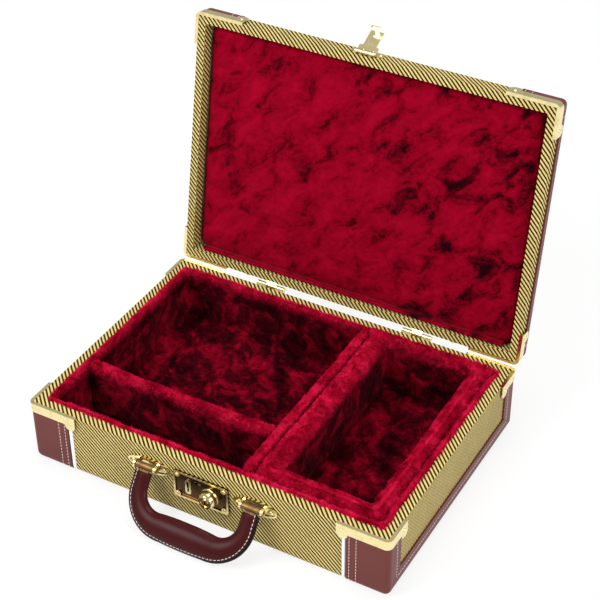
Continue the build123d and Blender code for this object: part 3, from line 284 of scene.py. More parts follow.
class Finish:
    """A material: one Principled shader, and the nodes that feed it.

    A fixed value stays under the node that feeds the same input, for what reads no nodes.
    """

    def __init__(self, name, **fixed):
        self.material = bpy.data.materials.new(name)
        self.material.use_nodes = True
        self.tree = self.material.node_tree
        self.shader = self.tree.nodes["Principled BSDF"]
        for key, value in fixed.items():
            self.set(key.replace("_", " "), value)

    def set(self, key, value):
        feed(self.tree, self.shader.inputs[key], value)

    def node(self, kind, settings, values, output=0):
        return Value(self, add_node(self.tree, "ShaderNode" + kind, settings, values)[output])

    def place(self):
        return self.node("TexCoord", {}, {}, "Object")

    def half_place(self, half):
        """Place in a half that lies rim upwards, the lid turned over like the base."""
        if half is BASE:
            return self.place()
        turn = OPENING + pi
        shift = Vector((0, -HINGE.y, HINGE.z)) - Matrix.Rotation(turn, 3, "X") @ HINGE
        return self.node(
            "Mapping", {"vector_type": "POINT"},
            {"Vector": self.place(), "Location": shift, "Rotation": (turn, 0, 0)},
        )

    def half_facing(self, half):
        """Direction in which the surface faces in such a half."""
        facing = self.node("TexCoord", {}, {}, "Normal")
        if half is BASE:
            return facing
        return self.node(
            "Mapping", {"vector_type": "VECTOR"},
            {"Vector": facing, "Rotation": (OPENING + pi, 0, 0)},
        )

    def noise(self, scale, place=None, detail=3.0, roughness=0.55, distortion=0.0):
        values = {
            "Vector": place or self.place(), "Scale": scale, "Detail": detail,
            "Roughness": roughness, "Distortion": distortion,
        }
        return self.node("TexNoise", {}, values, "Fac")

    def blend(self, share, first, second):
        """A colour between two colours."""
        return self.node("Mix", {"data_type": "RGBA"}, {0: share, 6: first, 7: second}, 2)

    def ramp(self, value, stops):
        """A colour from a ramp of (position, colour) stops."""
        made = self.node("ValToRGB", {}, {"Fac": value}, "Color")
        elements = made.socket.node.color_ramp.elements
        while len(elements) < len(stops):
            elements.new(1.0)
        for element, (position, tint) in zip(elements, stops):
            element.position = position
            element.color = (*tint, 1.0)
        return made

    def steps(self, value, low, high, to_low=0.0, to_high=1.0):
        """Value mapped from low..high to to_low..to_high, smooth at both ends."""
        ends = {"Value": value, 1: low, 2: high, 3: to_low, 4: to_high}
        return self.node("MapRange", {"interpolation_type": "SMOOTHSTEP"}, ends)

    def attribute(self, name):
        return self.node("Attribute", {"attribute_name": name}, {}, "Fac")

    def bump(self, height, depth, strength, after=None):
        values = {"Height": height, "Distance": depth, "Strength": strength}
        if after is not None:
            values["Normal"] = after
        return self.node("Bump", {}, values)


def tweed_finish(name, half):
    """Straw cloth with dark diagonal stripes that run on over each edge of the rim."""
    finish = Finish(name, Roughness=0.6, Specular_IOR_Level=0.15)
    place = finish.half_place(half)
    x, y, z = place.parts()
    facing_x, facing_y, facing_z = finish.half_facing(half).parts()
    flat_facing = 0.71
    on_rim = abs(facing_z) > flat_facing
    on_end = abs(facing_x) > abs(facing_y)
    drop = z - RIM
    over_end = y - facing_x.sign() * (drop - HALF_LENGTH)
    over_long = x - facing_y.sign() * (drop - HALF_DEPTH)
    run = choose(on_rim, x + y, choose(on_end, over_end, over_long))
    across = choose(on_rim, x - y, choose(on_end, y, x) + z)

    ragged = finish.noise(900.0, place, detail=1.0) - 0.5
    wave = ((run + ragged * 0.4 * MM) * (tau / STRIPE_PITCH)).sine()
    stripe = finish.steps(wave, -0.20, 0.28)
    thread = (across * (tau / THREAD_PITCH)).sine() * (run * (tau / THREAD_PITCH)).sine()
    between_threads = finish.steps(thread, -0.9, 0.6, 0.12, 0.0)
    tone = finish.noise(60.0, place, detail=2.0)
    light = finish.blend(tone, (0.71, 0.545, 0.172), (0.82, 0.665, 0.255))
    dark = finish.blend(tone, (0.016, 0.009, 0.001), (0.040, 0.026, 0.005))
    cloth = finish.blend(stripe, dark, light)
    finish.set("Base Color", finish.blend(between_threads, cloth, (0.06, 0.04, 0.01)))
    finish.set("Roughness", 0.45 + finish.noise(300.0, place) * 0.25)
    finish.set("Normal", finish.bump(thread * 0.5 + stripe, 0.12 * MM, 0.6))
    return finish.material


def pile_finish(name, half, patch_scale, patch_turn, patch_stretch):
    """Crimson pile without its colour, with its place, clumps and how light it is brushed."""
    finish = Finish(
        name, Roughness=1.0, Specular_IOR_Level=0.03,
        Sheen_Weight=0.12, Sheen_Roughness=0.4, Sheen_Tint=(1.0, 0.12, 0.2),
    )
    place = finish.half_place(half)
    leaning = finish.node(
        "Mapping", {"vector_type": "TEXTURE"},
        {"Vector": place, "Rotation": patch_turn, "Scale": patch_stretch},
    )
    patches = finish.noise(patch_scale, leaning, detail=5.0, roughness=0.6, distortion=0.6)
    clumps = finish.noise(210.0, place, detail=3.0, roughness=0.6, distortion=0.5)
    fibres = finish.noise(1300.0, place, detail=2.0)
    rough = finish.bump(clumps, 2.0 * MM, 0.7)
    finish.set("Normal", finish.bump(fibres, 0.5 * MM, 0.5, rough))
    return finish, place, clumps, patches * 0.68 + clumps * 0.20 + fibres * 0.14


def base_pile_finish(name):
    """Crimson pile with painted light on the padded crowns and painted shade, deep red, lower down where it lies
    flat.
    """
    finish, place, clumps, brushed = pile_finish(
        name, BASE, 60.0, (0.5, 0.3, 0.7), (1.0, 1.5, 1.2),
    )
    # Painted shade: the pile low down on walls and floors is painted dark, as the compartments' shade.
    shaded_low_pile = finish.ramp(brushed, [
        (0.41, (0.009, 0.0, 0.001)),
        (0.50, (0.048, 0.0, 0.003)),
        (0.56, (0.15, 0.0, 0.008)),
        (0.64, (0.30, 0.001, 0.015)),
    ])
    lit_crown_pile = finish.ramp(brushed, [
        (0.34, (0.24, 0.0, 0.013)),
        (0.44, (0.42, 0.002, 0.026)),
        (0.54, (0.56, 0.005, 0.042)),
        (0.66, (0.72, 0.016, 0.080)),
    ])
    # Painted light and shade by height: the pile blends from the dark low colours up to the light crown colours.
    height = place.parts()[2] + clumps * 6 * MM
    raised = finish.steps(height, RIM - 8 * MM, RIM + 5 * MM)
    finish.set("Base Color", finish.blend(raised, shaded_low_pile, lit_crown_pile))
    return finish.material


def lid_pile_finish(name):
    """Crimson pile in broad patches, darker to the right, and with painted shade nearly black in the dimple."""
    finish, place, _, brushed = pile_finish(
        name, LID, 64.0, (0.0, 0.0, 0.8), (1.8, 1.0, 1.0),
    )
    darker_right = finish.steps(place.parts()[0], -60 * MM, 120 * MM, -0.012, 0.042)
    pile = finish.ramp(brushed - darker_right, [
        (0.37, (0.016, 0.0, 0.002)),
        (0.43, (0.11, 0.0, 0.005)),
        (0.48, (0.22, 0.0, 0.010)),
        (0.64, (0.34, 0.001, 0.018)),
    ])
    # Painted shade: the dimple's hollow is painted nearly black.
    shade = finish.blend(finish.attribute("dimple_shade"), pile, (0.008, 0.0, 0.001))
    finish.set("Base Color", shade)
    return finish.material


def hide_noise(finish, place=None):
    """The fine grain and the broad tone of leather and vinyl."""
    grain = finish.noise(1500.0, place, detail=3.0)
    tone = finish.noise(28.0, place, detail=4.0, distortion=0.4)
    return grain, tone


def leather_finish(name, roughness):
    """Grained red brown leather with a soft shine, nearly black along its cut edge."""
    finish = Finish(name, Roughness=roughness, Specular_IOR_Level=0.12)
    grain, tone = hide_noise(finish)
    hide = finish.blend(tone, (0.034, 0.003, 0.004), (0.060, 0.006, 0.006))
    edge = finish.attribute("cut_edge")
    finish.set("Base Color", finish.blend(edge, hide, (0.008, 0.004, 0.004)))
    finish.set("Roughness", roughness - 0.08 + grain * 0.16)
    finish.set("Normal", finish.bump(grain, 0.08 * MM, 0.5))
    return finish.material


def vinyl_finish(name, half):
    """Red brown vinyl of the end bands, creased where its borders meet in the lower corners."""
    finish = Finish(name, Roughness=0.4, Specular_IOR_Level=0.17)
    place = finish.half_place(half)
    x, y, z = place.parts()
    grain, tone = hide_noise(finish, place)
    hide = finish.blend(tone, (0.110, 0.024, 0.021), (0.165, 0.040, 0.034))
    from_corner = HALF_DEPTH + VINYL - abs(y)
    from_underside = z - (RIM - half.height + half.underside)
    crease = 1 - finish.steps(abs(from_corner - from_underside), 0.25 * MM, 0.9 * MM)
    near = from_corner < half.border + 2 * MM
    on_end = abs(x) > HALF_LENGTH + 1.2 * MM
    folded = crease * near * on_end
    finish.set("Base Color", finish.blend(folded, hide, (0.012, 0.004, 0.004)))
    finish.set("Roughness", 0.32 + grain * 0.16)
    finish.set("Normal", finish.bump(grain * 0.1 - folded, 0.5 * MM, 0.6))
    return finish.material


BRIGHT_BRASS = (0.93, 0.80, 0.42)


def metal_finish(name, pale, deep, roughness, stain):
    """Plated metal with a faint cloud of handling marks."""
    finish = Finish(name, Metallic=1.0, Roughness=roughness)
    cloud = finish.noise(120.0, detail=4.0)
    fine = finish.noise(900.0, detail=2.0)
    marks = finish.steps(cloud, 0.45, 0.75) * stain
    finish.set("Base Color", finish.blend(marks, pale, deep))
    finish.set("Roughness", roughness + fine * 0.08 + marks * 0.2)
    finish.set("Normal", finish.bump(fine, 0.02 * MM, 0.25))
    return finish.material


def lock_finish(name):
    """Brass of the lock plate: a pale raised border round a field painted dark brown, a painted reflection."""
    finish = Finish(name, Metallic=1.0, Roughness=0.2)
    depth = -1 * finish.place().parts()[1] - HALF_DEPTH
    cloud = finish.noise(160.0, detail=4.0)
    raised = finish.steps(depth, 1.0 * MM, 1.8 * MM)
    # Painted reflection: the recessed field is painted dark brown, as polished brass mirroring dark surroundings.
    painted_reflection_field = finish.blend(cloud, (0.030, 0.014, 0.005), (0.16, 0.085, 0.032))
    border = finish.blend(cloud, BRIGHT_BRASS, (0.70, 0.52, 0.22))
    finish.set("Base Color", finish.blend(raised, painted_reflection_field, border))
    finish.set("Roughness", 0.16 + cloud * 0.14)
    finish.set("Normal", finish.bump(finish.noise(900.0, detail=2.0), 0.02 * MM, 0.25))
    return finish.material


def knob_finish(name):
    """Turned brass with painted shade for a slot in the middle of its face, and a dark line round the face."""
    finish = Finish(name, Metallic=1.0, Roughness=0.14)
    slot_half_width, slot_half_length = 0.5 * MM, 2.0 * MM
    line_radius, line_low, line_high = 7.5 * MM, 0.05 * MM, 0.35 * MM
    turning_pitch = 0.5 * MM
    middle = centre("knob_inlay")
    x, _, z = finish.place().parts()
    across, up = x - middle.x, z - middle.z
    radius = (across * across + up * up).root()
    # Painted shade: the slot in the face is painted dark instead of cut.
    slot_shade = (abs(across) < slot_half_width) * (abs(up) < slot_half_length)
    line = 1 - finish.steps(abs(radius - line_radius), line_low, line_high)
    dark = slot_shade + line * (1 - slot_shade) * 0.8
    cloud = finish.noise(120.0, detail=4.0)
    brass = finish.blend(cloud, BRIGHT_BRASS, (0.78, 0.60, 0.27))
    finish.set("Base Color", finish.blend(dark, brass, (0.02, 0.012, 0.005)))
    finish.set("Roughness", 0.12 + cloud * 0.08)
    turned = (radius * (tau / turning_pitch)).sine()
    finish.set("Normal", finish.bump(turned, 0.01 * MM, 0.3))
    return finish.material


def plain_finish(name, first, second, roughness, scale, depth):
    """A coloured surface with slight variation and relief."""
    finish = Finish(name, Roughness=roughness)
    cloud = finish.noise(scale, detail=4.0)
    finish.set("Base Color", finish.blend(cloud, first, second))
    finish.set("Roughness", roughness - 0.06 + cloud * 0.12)
    finish.set("Normal", finish.bump(cloud, depth, 0.4))
    return finish.material


PLUSH = base_pile_finish("crimson_plush")
LID_PLUSH = lid_pile_finish("crimson_plush_of_lid")
HANDLE_FINISH = leather_finish("handle_leather", 0.34)
BRASS = metal_finish("polished_brass", BRIGHT_BRASS, (0.62, 0.44, 0.16), 0.14, 0.5)
DARK_BRASS = metal_finish("shaded_brass", (0.26, 0.15, 0.06), (0.12, 0.06, 0.02), 0.4, 0.6)
LOCK_BRASS = lock_finish("lock_plate_brass")
KNOB_BRASS = knob_finish("turned_knob_brass")
STEEL = metal_finish("zinc_steel", (0.62, 0.62, 0.63), (0.40, 0.40, 0.42), 0.3, 0.5)
WOOD = plain_finish(
    "bare_plywood", (0.42, 0.28, 0.15), (0.62, 0.45, 0.27), 0.7, 90.0, 0.1 * MM,
)
PIPING = plain_finish(
    "white_piping", (0.82, 0.83, 0.84), (0.92, 0.93, 0.93), 0.3, 400.0, 0.05 * MM,
)
THREAD = plain_finish(
    "stitching_thread", (0.72, 0.62, 0.60), (0.90, 0.83, 0.80), 0.6, 2500.0, 0.1 * MM,
)
ENAMEL = plain_finish(
    "black_enamel", (0.008, 0.008, 0.008), (0.018, 0.017, 0.016), 0.25, 300.0, 0.02 * MM,
)

# Finishes of the CAD nodes, by slot, and of the few that have their own
SLOT_FINISHES = {
    "plush": PLUSH,
    "handle_leather": HANDLE_FINISH,
    "brass": BRASS,
    "steel": STEEL,
    "wood": WOOD,
    "piping": PIPING,
    "black_enamel": ENAMEL,
}
BASE_FINISHES = {
    **SLOT_FINISHES,
    "tweed": tweed_finish("tweed_of_base", BASE),
    "vinyl": vinyl_finish("brown_vinyl_of_base", BASE),
}
LID_FINISHES = {
    **SLOT_FINISHES,
    "tweed": tweed_finish("tweed_of_lid", LID),
    "vinyl": vinyl_finish("brown_vinyl_of_lid", LID),
}
NODE_FINISHES = {
    "lock_plate": LOCK_BRASS,
    "lock_knob": KNOB_BRASS,
    "knob_inlay": KNOB_BRASS,
    "handle_pin_left": DARK_BRASS,
    "handle_pin_right": DARK_BRASS,
    "handle_core": DARK_BRASS,
}


def finish_cad_nodes():
    """Each CAD node gets its own finish or that of its slot."""
    slots = {s["node"]: s["material_slot"] for s in frame["record"]["subparts"]}
    for name, node in frame["nodes"].items():
        finishes = LID_FINISHES if name.startswith("lid") else BASE_FINISHES
        node.data.materials.clear()
        node.data.materials.append(NODE_FINISHES.get(name, finishes[slots[name]]))


def new_piece(name, mesh, body, material):
    """An object that rides on a body, its place in its mesh."""
    piece = bpy.data.objects.new(name, mesh)
    bpy.context.scene.collection.objects.link(piece)
    mesh.materials.clear()
    mesh.materials.append(material)
    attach(piece, body)
    return piece


def skin(name, rows, loop=False):
    """A smooth closed mesh through rows of points: rows in a loop, or a face on each end."""
    builder = bmesh.new()
    rows = [[builder.verts.new(point) for point in row] for row in rows]
    pairs = list(zip(rows, rows[1:]))
    if loop:
        pairs.append((rows[-1], rows[0]))
    for lower, upper in pairs:
        for index in range(len(lower)):
            after = (index + 1) % len(lower)
            builder.faces.new((lower[index], lower[after], upper[after], upper[index]))
    if not loop:
        builder.faces.new(list(reversed(rows[0])))
        builder.faces.new(rows[-1])
    bmesh.ops.recalc_face_normals(builder, faces=builder.faces)
    mesh = bpy.data.meshes.new(name)
    builder.to_mesh(mesh)
    builder.free()
    for face in mesh.polygons:
        face.use_smooth = True
    return mesh


def rounded_ring(length, depth, radius, count):
    """Points evenly round a rectangle with rounded corners, starting on its right side."""
    radius = min(radius, length / 2, depth / 2)
    straight_x = length - 2 * radius
    straight_y = depth - 2 * radius
    quarter = radius * pi / 2
    total = 2 * straight_x + 2 * straight_y + 4 * quarter
    corners = (
        (straight_x / 2, straight_y / 2, 0.0),
        (-straight_x / 2, straight_y / 2, pi / 2),
        (-straight_x / 2, -straight_y / 2, pi),
        (straight_x / 2, -straight_y / 2, 3 * pi / 2),
    )
    sides = (straight_y, straight_x, straight_y, straight_x)
    points = []
    for index in range(count):
        rest = total * index / count
        for (x, y, turn), side in zip(corners, sides):
            outward = Vector((cos(turn), sin(turn)))
            along = Vector((-sin(turn), cos(turn)))
            corner = Vector((x, y))
            if rest <= side:
                points.append(corner + outward * radius - along * (side - rest))
                break
            rest -= side
            if rest <= quarter:
                angle = turn + rest / radius
                points.append(corner + Vector((cos(angle), sin(angle))) * radius)
                break
            rest -= quarter
        else:
            points.append(Vector((straight_x / 2 + radius, -straight_y / 2)))
    return points


def stacked_rings(name, rings, loop=False, placed=Vector):
    """A closed mesh through rings of (length, depth, corner radius, middle x, middle y, height)."""
    count = round(2 * max(ring[0] + ring[1] for ring in rings) / PERIMETER_STEP)
    rows = []
    for length, depth, radius, middle_x, middle_y, height in rings:
        ring = rounded_ring(length, depth, radius, count)
        rows.append([placed((p.x + middle_x, p.y + middle_y, height)) for p in ring])
    return skin(name, rows, loop)


def fluff(mesh, amount, fine):
    """Move the surface in by up to amount in soft clumps, and by fine in small ones."""
    normals = [v.normal.copy() for v in mesh.vertices]
    for vertex, normal in zip(mesh.vertices, normals):
        broad = noise.noise(vertex.co * BROAD_CLUMPS)
        small = noise.noise(vertex.co * SMALL_CLUMPS + SMALL_SHIFT)
        vertex.co -= normal * (amount * (0.5 - 0.5 * broad) + fine * (0.5 - 0.5 * small))
    mesh.update()


def crown(top, radius, steps):
    """(inset, height) pairs of a quarter round that ends level at the top."""
    for step in range(steps + 1):
        angle = pi / 2 * step / steps
        yield radius * (1 - cos(angle)), top - radius + radius * sin(angle)


def levels(low, high):
    """Heights from low up to just under high, evenly spaced."""
    count = max(2, round((high - low) / ROW_STEP))
    return [low + (high - low) * index / count for index in range(count)]


def growing_tree(name, numbers):
    """A Geometry Nodes tree that takes a mesh, numbers and a finish, and what it is given."""
    tree = bpy.data.node_groups.new(name, "GeometryNodeTree")
    taken = {"Ground": "Geometry", **dict.fromkeys(numbers, "Float"), "Finish": "Material"}
    for label, kind in taken.items():
        tree.interface.new_socket(label, in_out="INPUT", socket_type="NodeSocket" + kind)
    tree.interface.new_socket("Grown", in_out="OUTPUT", socket_type="NodeSocketGeometry")
    return tree, add_node(tree, "NodeGroupInput", {}, {})


def set_out(tree, given, points, shape, direction):
    """Give out a shape on each point, Width wide and Length long, its length in a direction."""
    size = add_node(
        tree, "ShaderNodeCombineXYZ", {},
        {"X": given["Width"], "Y": given["Width"], "Z": given["Length"]},
    )
    turn = add_node(tree, "FunctionNodeAlignRotationToVector", {"axis": "Z"}, {"Vector": direction})
    copies = add_node(
        tree, "GeometryNodeInstanceOnPoints", {},
        {
            "Points": points, "Instance": shape,
            "Rotation": turn["Rotation"], "Scale": size["Vector"],
        },
    )
    real = add_node(tree, "GeometryNodeRealizeInstances", {}, {"Geometry": copies["Instances"]})
    painted = add_node(
        tree, "GeometryNodeSetMaterial", {},
        {"Geometry": real["Geometry"], "Material": given["Finish"]},
    )
    add_node(tree, "NodeGroupOutput", {}, {"Grown": painted["Geometry"]})


def pile_tree():
    """Plants short leaning tufts on the upper part of a plush piece."""
    tree, given = growing_tree(
        "pile_of_plush", ("Density", "Length", "Width", "Lean", "From Height"),
    )
    where = add_node(tree, "GeometryNodeInputPosition", {}, {})
    split = add_node(tree, "ShaderNodeSeparateXYZ", {}, {0: where["Position"]})
    above = add_node(
        tree, "ShaderNodeMath", {"operation": "GREATER_THAN"},
        {0: split["Z"], 1: given["From Height"]},
    )
    planted = add_node(
        tree, "GeometryNodeDistributePointsOnFaces", {},
        {
            "Mesh": given["Ground"], "Selection": above[0],
            "Density": given["Density"], "Seed": TUFT_SEED,
        },
    )
    swirl = add_node(tree, "ShaderNodeTexNoise", {}, {"Scale": SWIRLS})
    centred = add_node(
        tree, "ShaderNodeVectorMath", {"operation": "SUBTRACT"},
        {0: swirl["Color"], 1: (0.5, 0.5, 0.5)},
    )
    leaning = add_node(
        tree, "ShaderNodeVectorMath", {"operation": "SCALE"},
        {0: centred["Vector"], "Scale": given["Lean"]},
    )
    tilted = add_node(
        tree, "ShaderNodeVectorMath", {"operation": "ADD"},
        {0: planted["Normal"], 1: leaning["Vector"]},
    )
    tuft = add_node(
        tree, "GeometryNodeMeshCone", {}, {"Vertices": 3, "Radius Bottom": 0.5, "Depth": 1.0},
    )
    set_out(tree, given, planted["Points"], tuft["Mesh"], tilted["Vector"])
    return tree


def stitch_tree():
    """Sews a row of stitches along each edge line of a mesh."""
    tree, given = growing_tree("row_of_stitches", ("Spacing", "Length", "Width"))
    curve = add_node(tree, "GeometryNodeMeshToCurve", {}, {"Mesh": given["Ground"]})
    spaced = add_node(
        tree, "GeometryNodeResampleCurve", {"mode": "LENGTH"},
        {"Curve": curve["Curve"], "Length": given["Spacing"]},
    )
    tangent = add_node(tree, "GeometryNodeInputTangent", {}, {})
    stitch = add_node(
        tree, "GeometryNodeMeshUVSphere", {}, {"Segments": 8, "Rings": 6, "Radius": 0.5},
    )
    set_out(tree, given, spaced["Curve"], stitch["Mesh"], tangent["Tangent"])
    return tree


PILE = pile_tree()
STITCHES = stitch_tree()


def grown(name, mesh, tree, inputs):
    """The plain mesh that a tree makes from a mesh, with the tree's inputs set by name."""
    host = bpy.data.objects.new(name + "_host", mesh)
    bpy.context.scene.collection.objects.link(host)
    modifier = host.modifiers.new(name, "NODES")
    modifier.node_group = tree
    for item in tree.interface.items_tree:
        if item.in_out == "INPUT" and item.name in inputs:
            modifier[item.identifier] = inputs[item.name]
    graph = bpy.context.evaluated_depsgraph_get()
    made = bpy.data.meshes.new_from_object(host.evaluated_get(graph), depsgraph=graph)
    made.name = name
    bpy.data.objects.remove(host)
    return made


def plant_pile(piece, from_height):
    """Tufts on a plush piece above a height, pressed flat where the closed lid comes."""
    inputs = {
        "Density": TUFTS_PER_AREA, "Length": TUFT_LENGTH, "Width": TUFT_WIDTH, "Lean": TUFT_LEAN,
        "From Height": from_height, "Finish": PLUSH,
    }
    name = piece.name + "_pile"
    mesh = grown(name, piece.data, PILE, inputs)
    for vertex in mesh.vertices:
        x, y, z = vertex.co
        if abs(x) > HALF_LENGTH - LID_MOUTH or abs(y) > HALF_DEPTH - LID_MOUTH:
            vertex.co.z = min(z, LID_RIM - LID_CLEAR)
        elif y > HEM_IN - LID_CLEAR:
            vertex.co.z = min(z, HEM_CREST - LID_CLEAR)
    new_piece(name, mesh, "base", PLUSH)


def base_pad(name, mesh, node, pile_from):
    """A soft piece of the base in the place of a CAD node, with tufts from a height upwards."""
    piece = new_piece(name, mesh, "base", PLUSH)
    plant_pile(piece, pile_from)
    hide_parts(node)


def lid_pad(name, mesh):
    """A soft piece of the lid, which stands for the lid's panel."""
    piece = new_piece(name, mesh, "lid", LID_PLUSH)
    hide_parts("lid_plush_panel")


def settled(mesh):
    """How far soft cloth over a pad moves out at each of its points, as a list of (point, move)."""
    soft = bpy.data.objects.new(mesh.name + "_soft", mesh.copy())
    bpy.context.scene.collection.objects.link(soft)
    remesh = soft.modifiers.new("remesh", "REMESH")
    remesh.mode = "VOXEL"
    remesh.voxel_size = CLOTH_VOXEL
    graph = bpy.context.evaluated_depsgraph_get()
    coarse = bpy.data.meshes.new_from_object(soft.evaluated_get(graph), depsgraph=graph)
    soft.modifiers.remove(remesh)
    soft.data = coarse
    before = [v.co.copy() for v in coarse.vertices]
    cloth = soft.modifiers.new("cloth", "CLOTH")
    cloth.settings.use_pressure = True
    cloth.settings.uniform_pressure_force = CLOTH_PRESSURE
    cloth.settings.effector_weights.gravity = 0.0
    cloth.point_cache.frame_end = SETTLE_FRAMES
    scene = bpy.context.scene
    for number in range(1, SETTLE_FRAMES + 1):
        scene.frame_set(number)
    graph = bpy.context.evaluated_depsgraph_get()
    after = soft.evaluated_get(graph).data
    moves = [(old, new.co - old) for old, new in zip(before, after.vertices)]
    scene.frame_set(1)
    bpy.data.objects.remove(soft)
    return moves


def follow_cloth(mesh):
    """Move a pad's fine surface as its cloth settles, each point by no more than CLOTH_REACH."""
    moves = settled(mesh)
    if not moves:
        return
    finder = KDTree(len(moves))
    for index, (point, _) in enumerate(moves):
        finder.insert(point, index)
    finder.balance()
    for vertex in mesh.vertices:
        total, weight = Vector(), 0.0
        for _, index, distance in finder.find_n(vertex.co, CLOTH_NEIGHBOURS):
            share = 1 / (distance + CLOTH_NEAREST)
            total += moves[index][1] * share
            weight += share
        move = total / weight
        if move.length > CLOTH_REACH:
            move = move.normalized() * CLOTH_REACH
        vertex.co += move
    mesh.update()


def block_pad(node, name, axis, right_share=1.0):
    """A padded wall along one axis with a round crown, steeper on its right by right_share."""
    low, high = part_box(node)
    middle = (low + high) / 2
    length, depth = high.x - low.x - 2 * SLACK, high.y - low.y - 2 * SLACK
    top = high.z - SLACK
    radius = min(length, depth) * 0.485
    corner = 1.2 * MM
    rings = [(length, depth, corner, middle.x, middle.y, z) for z in levels(low.z, top - radius)]
    for inset, z in crown(top, radius, 9):
        if axis == "x":
            rings.append((length, depth - 2 * inset, corner, middle.x, middle.y, z))
        else:
            right = inset * right_share
            rings.append((
                length - inset - right, depth, corner, middle.x + (inset - right) / 2, middle.y, z,
            ))
    mesh = stacked_rings(name, rings)
    follow_cloth(mesh)
    fluff(mesh, 0.9 * MM, 1.0 * MM)
    base_pad(name, mesh, node, pile_from=high.z - 9 * MM)


def base_lining():
    """The plush inside the base: walls with a rolled top edge, and the floor."""
    low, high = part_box("base_lining")
    length, depth = high.x - low.x, high.y - low.y
    wall = 4.6 * MM
    floor = low.z + 3.0 * MM
    top = high.z + 0.7 * MM
    roll = 2.4 * MM
    outer_corner, roll_corner, mouth_corner, inner_corner = 0.3 * MM, 1 * MM, 4 * MM, 6 * MM
    outside = [low.z, *levels(low.z + 2 * MM, RIM - 4 * MM)]
    rings = [(length, depth, outer_corner, 0, 0, z) for z in outside]
    for inset, z in crown(top, roll, 6):
        inset += 0.3 * MM
        rings.append((length - 2 * inset, depth - 2 * inset, roll_corner, 0, 0, z))
    for inset, z in reversed(list(crown(top, roll, 6))):
        inset = wall - inset
        rings.append((length - 2 * inset, depth - 2 * inset, mouth_corner, 0, 0, z))
    for z in reversed(levels(floor, top - roll)):
        rings.append((length - 2 * wall, depth - 2 * wall, inner_corner, 0, 0, z))
    rows, inner_half = 49, 2 * MM
    for row in range(1, rows + 1):
        inset = wall + row / rows * (depth / 2 - wall - inner_half)
        rings.append((length - 2 * inset, depth - 2 * inset, inner_corner, 0, 0, floor))
    mesh = stacked_rings("base_plush_lining", rings)
    fluff(mesh, 0.4 * MM, 0.8 * MM)
    base_pad("base_plush_lining", mesh, "base_lining", pile_from=RIM - 5 * MM)


def padded_frame():
    """The padded frame round the right compartment, sloped outside and round inside."""
    low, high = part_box("insert_pad_frame")
    middle = (low + high) / 2
    length, depth = high.x - low.x - 2 * SLACK, high.y - low.y - 2 * SLACK
    wall = FRAME_WALL - 2 * SLACK
    back = FRAME_BACK - 2 * SLACK
    top = FRAME_TOP - SLACK
    foot = RIM - 1.5 * MM
    slope_left, slope_right = 10.5 * MM, 2.5 * MM
    outer_corner, top_corner, inner_corner = 8 * MM, 7 * MM, 3 * MM
    inner_length = length - 2 * wall
    inner_depth = depth - wall - back
    inner_middle = middle.y + (wall - back) / 2
    rings = [(length, depth, outer_corner, middle.x, middle.y, z) for z in levels(low.z, foot)]
    rows = 12
    for row in range(rows):
        share = row / (rows - 1)
        left, right = slope_left * share, slope_right * share
        z = foot + (top - foot) * sin(share * pi / 2) ** 1.3
        rings.append((
            length - left - right, depth - left, top_corner,
            middle.x + (right - left) / 2, middle.y + left / 2, z,
        ))
    for inset, z in reversed(list(crown(top, FRAME_CROWN, 9))):
        rings.append((
            inner_length + 2 * inset, inner_depth + inset, inner_corner,
            middle.x, inner_middle - inset / 2, z,
        ))
    for z in reversed(levels(low.z, top - FRAME_CROWN)):
        rings.append((inner_length, inner_depth, inner_corner, middle.x, inner_middle, z))
    mesh = stacked_rings("plush_frame", rings, loop=True)
    follow_cloth(mesh)
    fluff(mesh, 1.0 * MM, 1.0 * MM)
    base_pad("plush_frame", mesh, "insert_pad_frame", pile_from=RIM - 6 * MM)


def frame_back():
    """The raised row of plush at the back of the padded frame."""
    low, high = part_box("insert_pad_frame")
    middle_x = centre("insert_pad_frame").x
    middle_y = high.y - 4.5 * MM
    length = high.x - low.x - 2 * SLACK - 1 * MM
    depth = 8.4 * MM
    corner = 1 * MM
    heights = levels(low.z, BACK_TOP - BACK_CROWN)
    rings = [(length, depth, corner, middle_x, middle_y, z) for z in heights]
    for inset, z in crown(BACK_TOP, BACK_CROWN, 7):
        rings.append((length, depth - 2 * inset, corner, middle_x, middle_y, z))
    mesh = stacked_rings("plush_frame_back", rings)
    fluff(mesh, 0.6 * MM, 0.8 * MM)
    base_pad("plush_frame_back", mesh, "insert_pad_frame", pile_from=RIM - 6 * MM)


def press_dimple(mesh):
    """Press a round hollow into the lid's panel, and mark it for painted shade in the finish."""
    spot = swing(DIMPLE)
    inward = (swing((0, 0, 1)) - swing((0, 0, 0))).normalized()
    dimple_shade = mesh.attributes.new("dimple_shade", "FLOAT", "POINT")
    for vertex, hollow_shade in zip(mesh.vertices, dimple_shade.data):
        away = (vertex.co - spot).length / DIMPLE_RADIUS
        if away < 1:
            vertex.co += inward * DIMPLE_DEPTH * (1 - away * away) ** 2
            # How much painted shade the finish gives this point of the hollow.
            hollow_shade.value = 1 - away * away
    mesh.update()


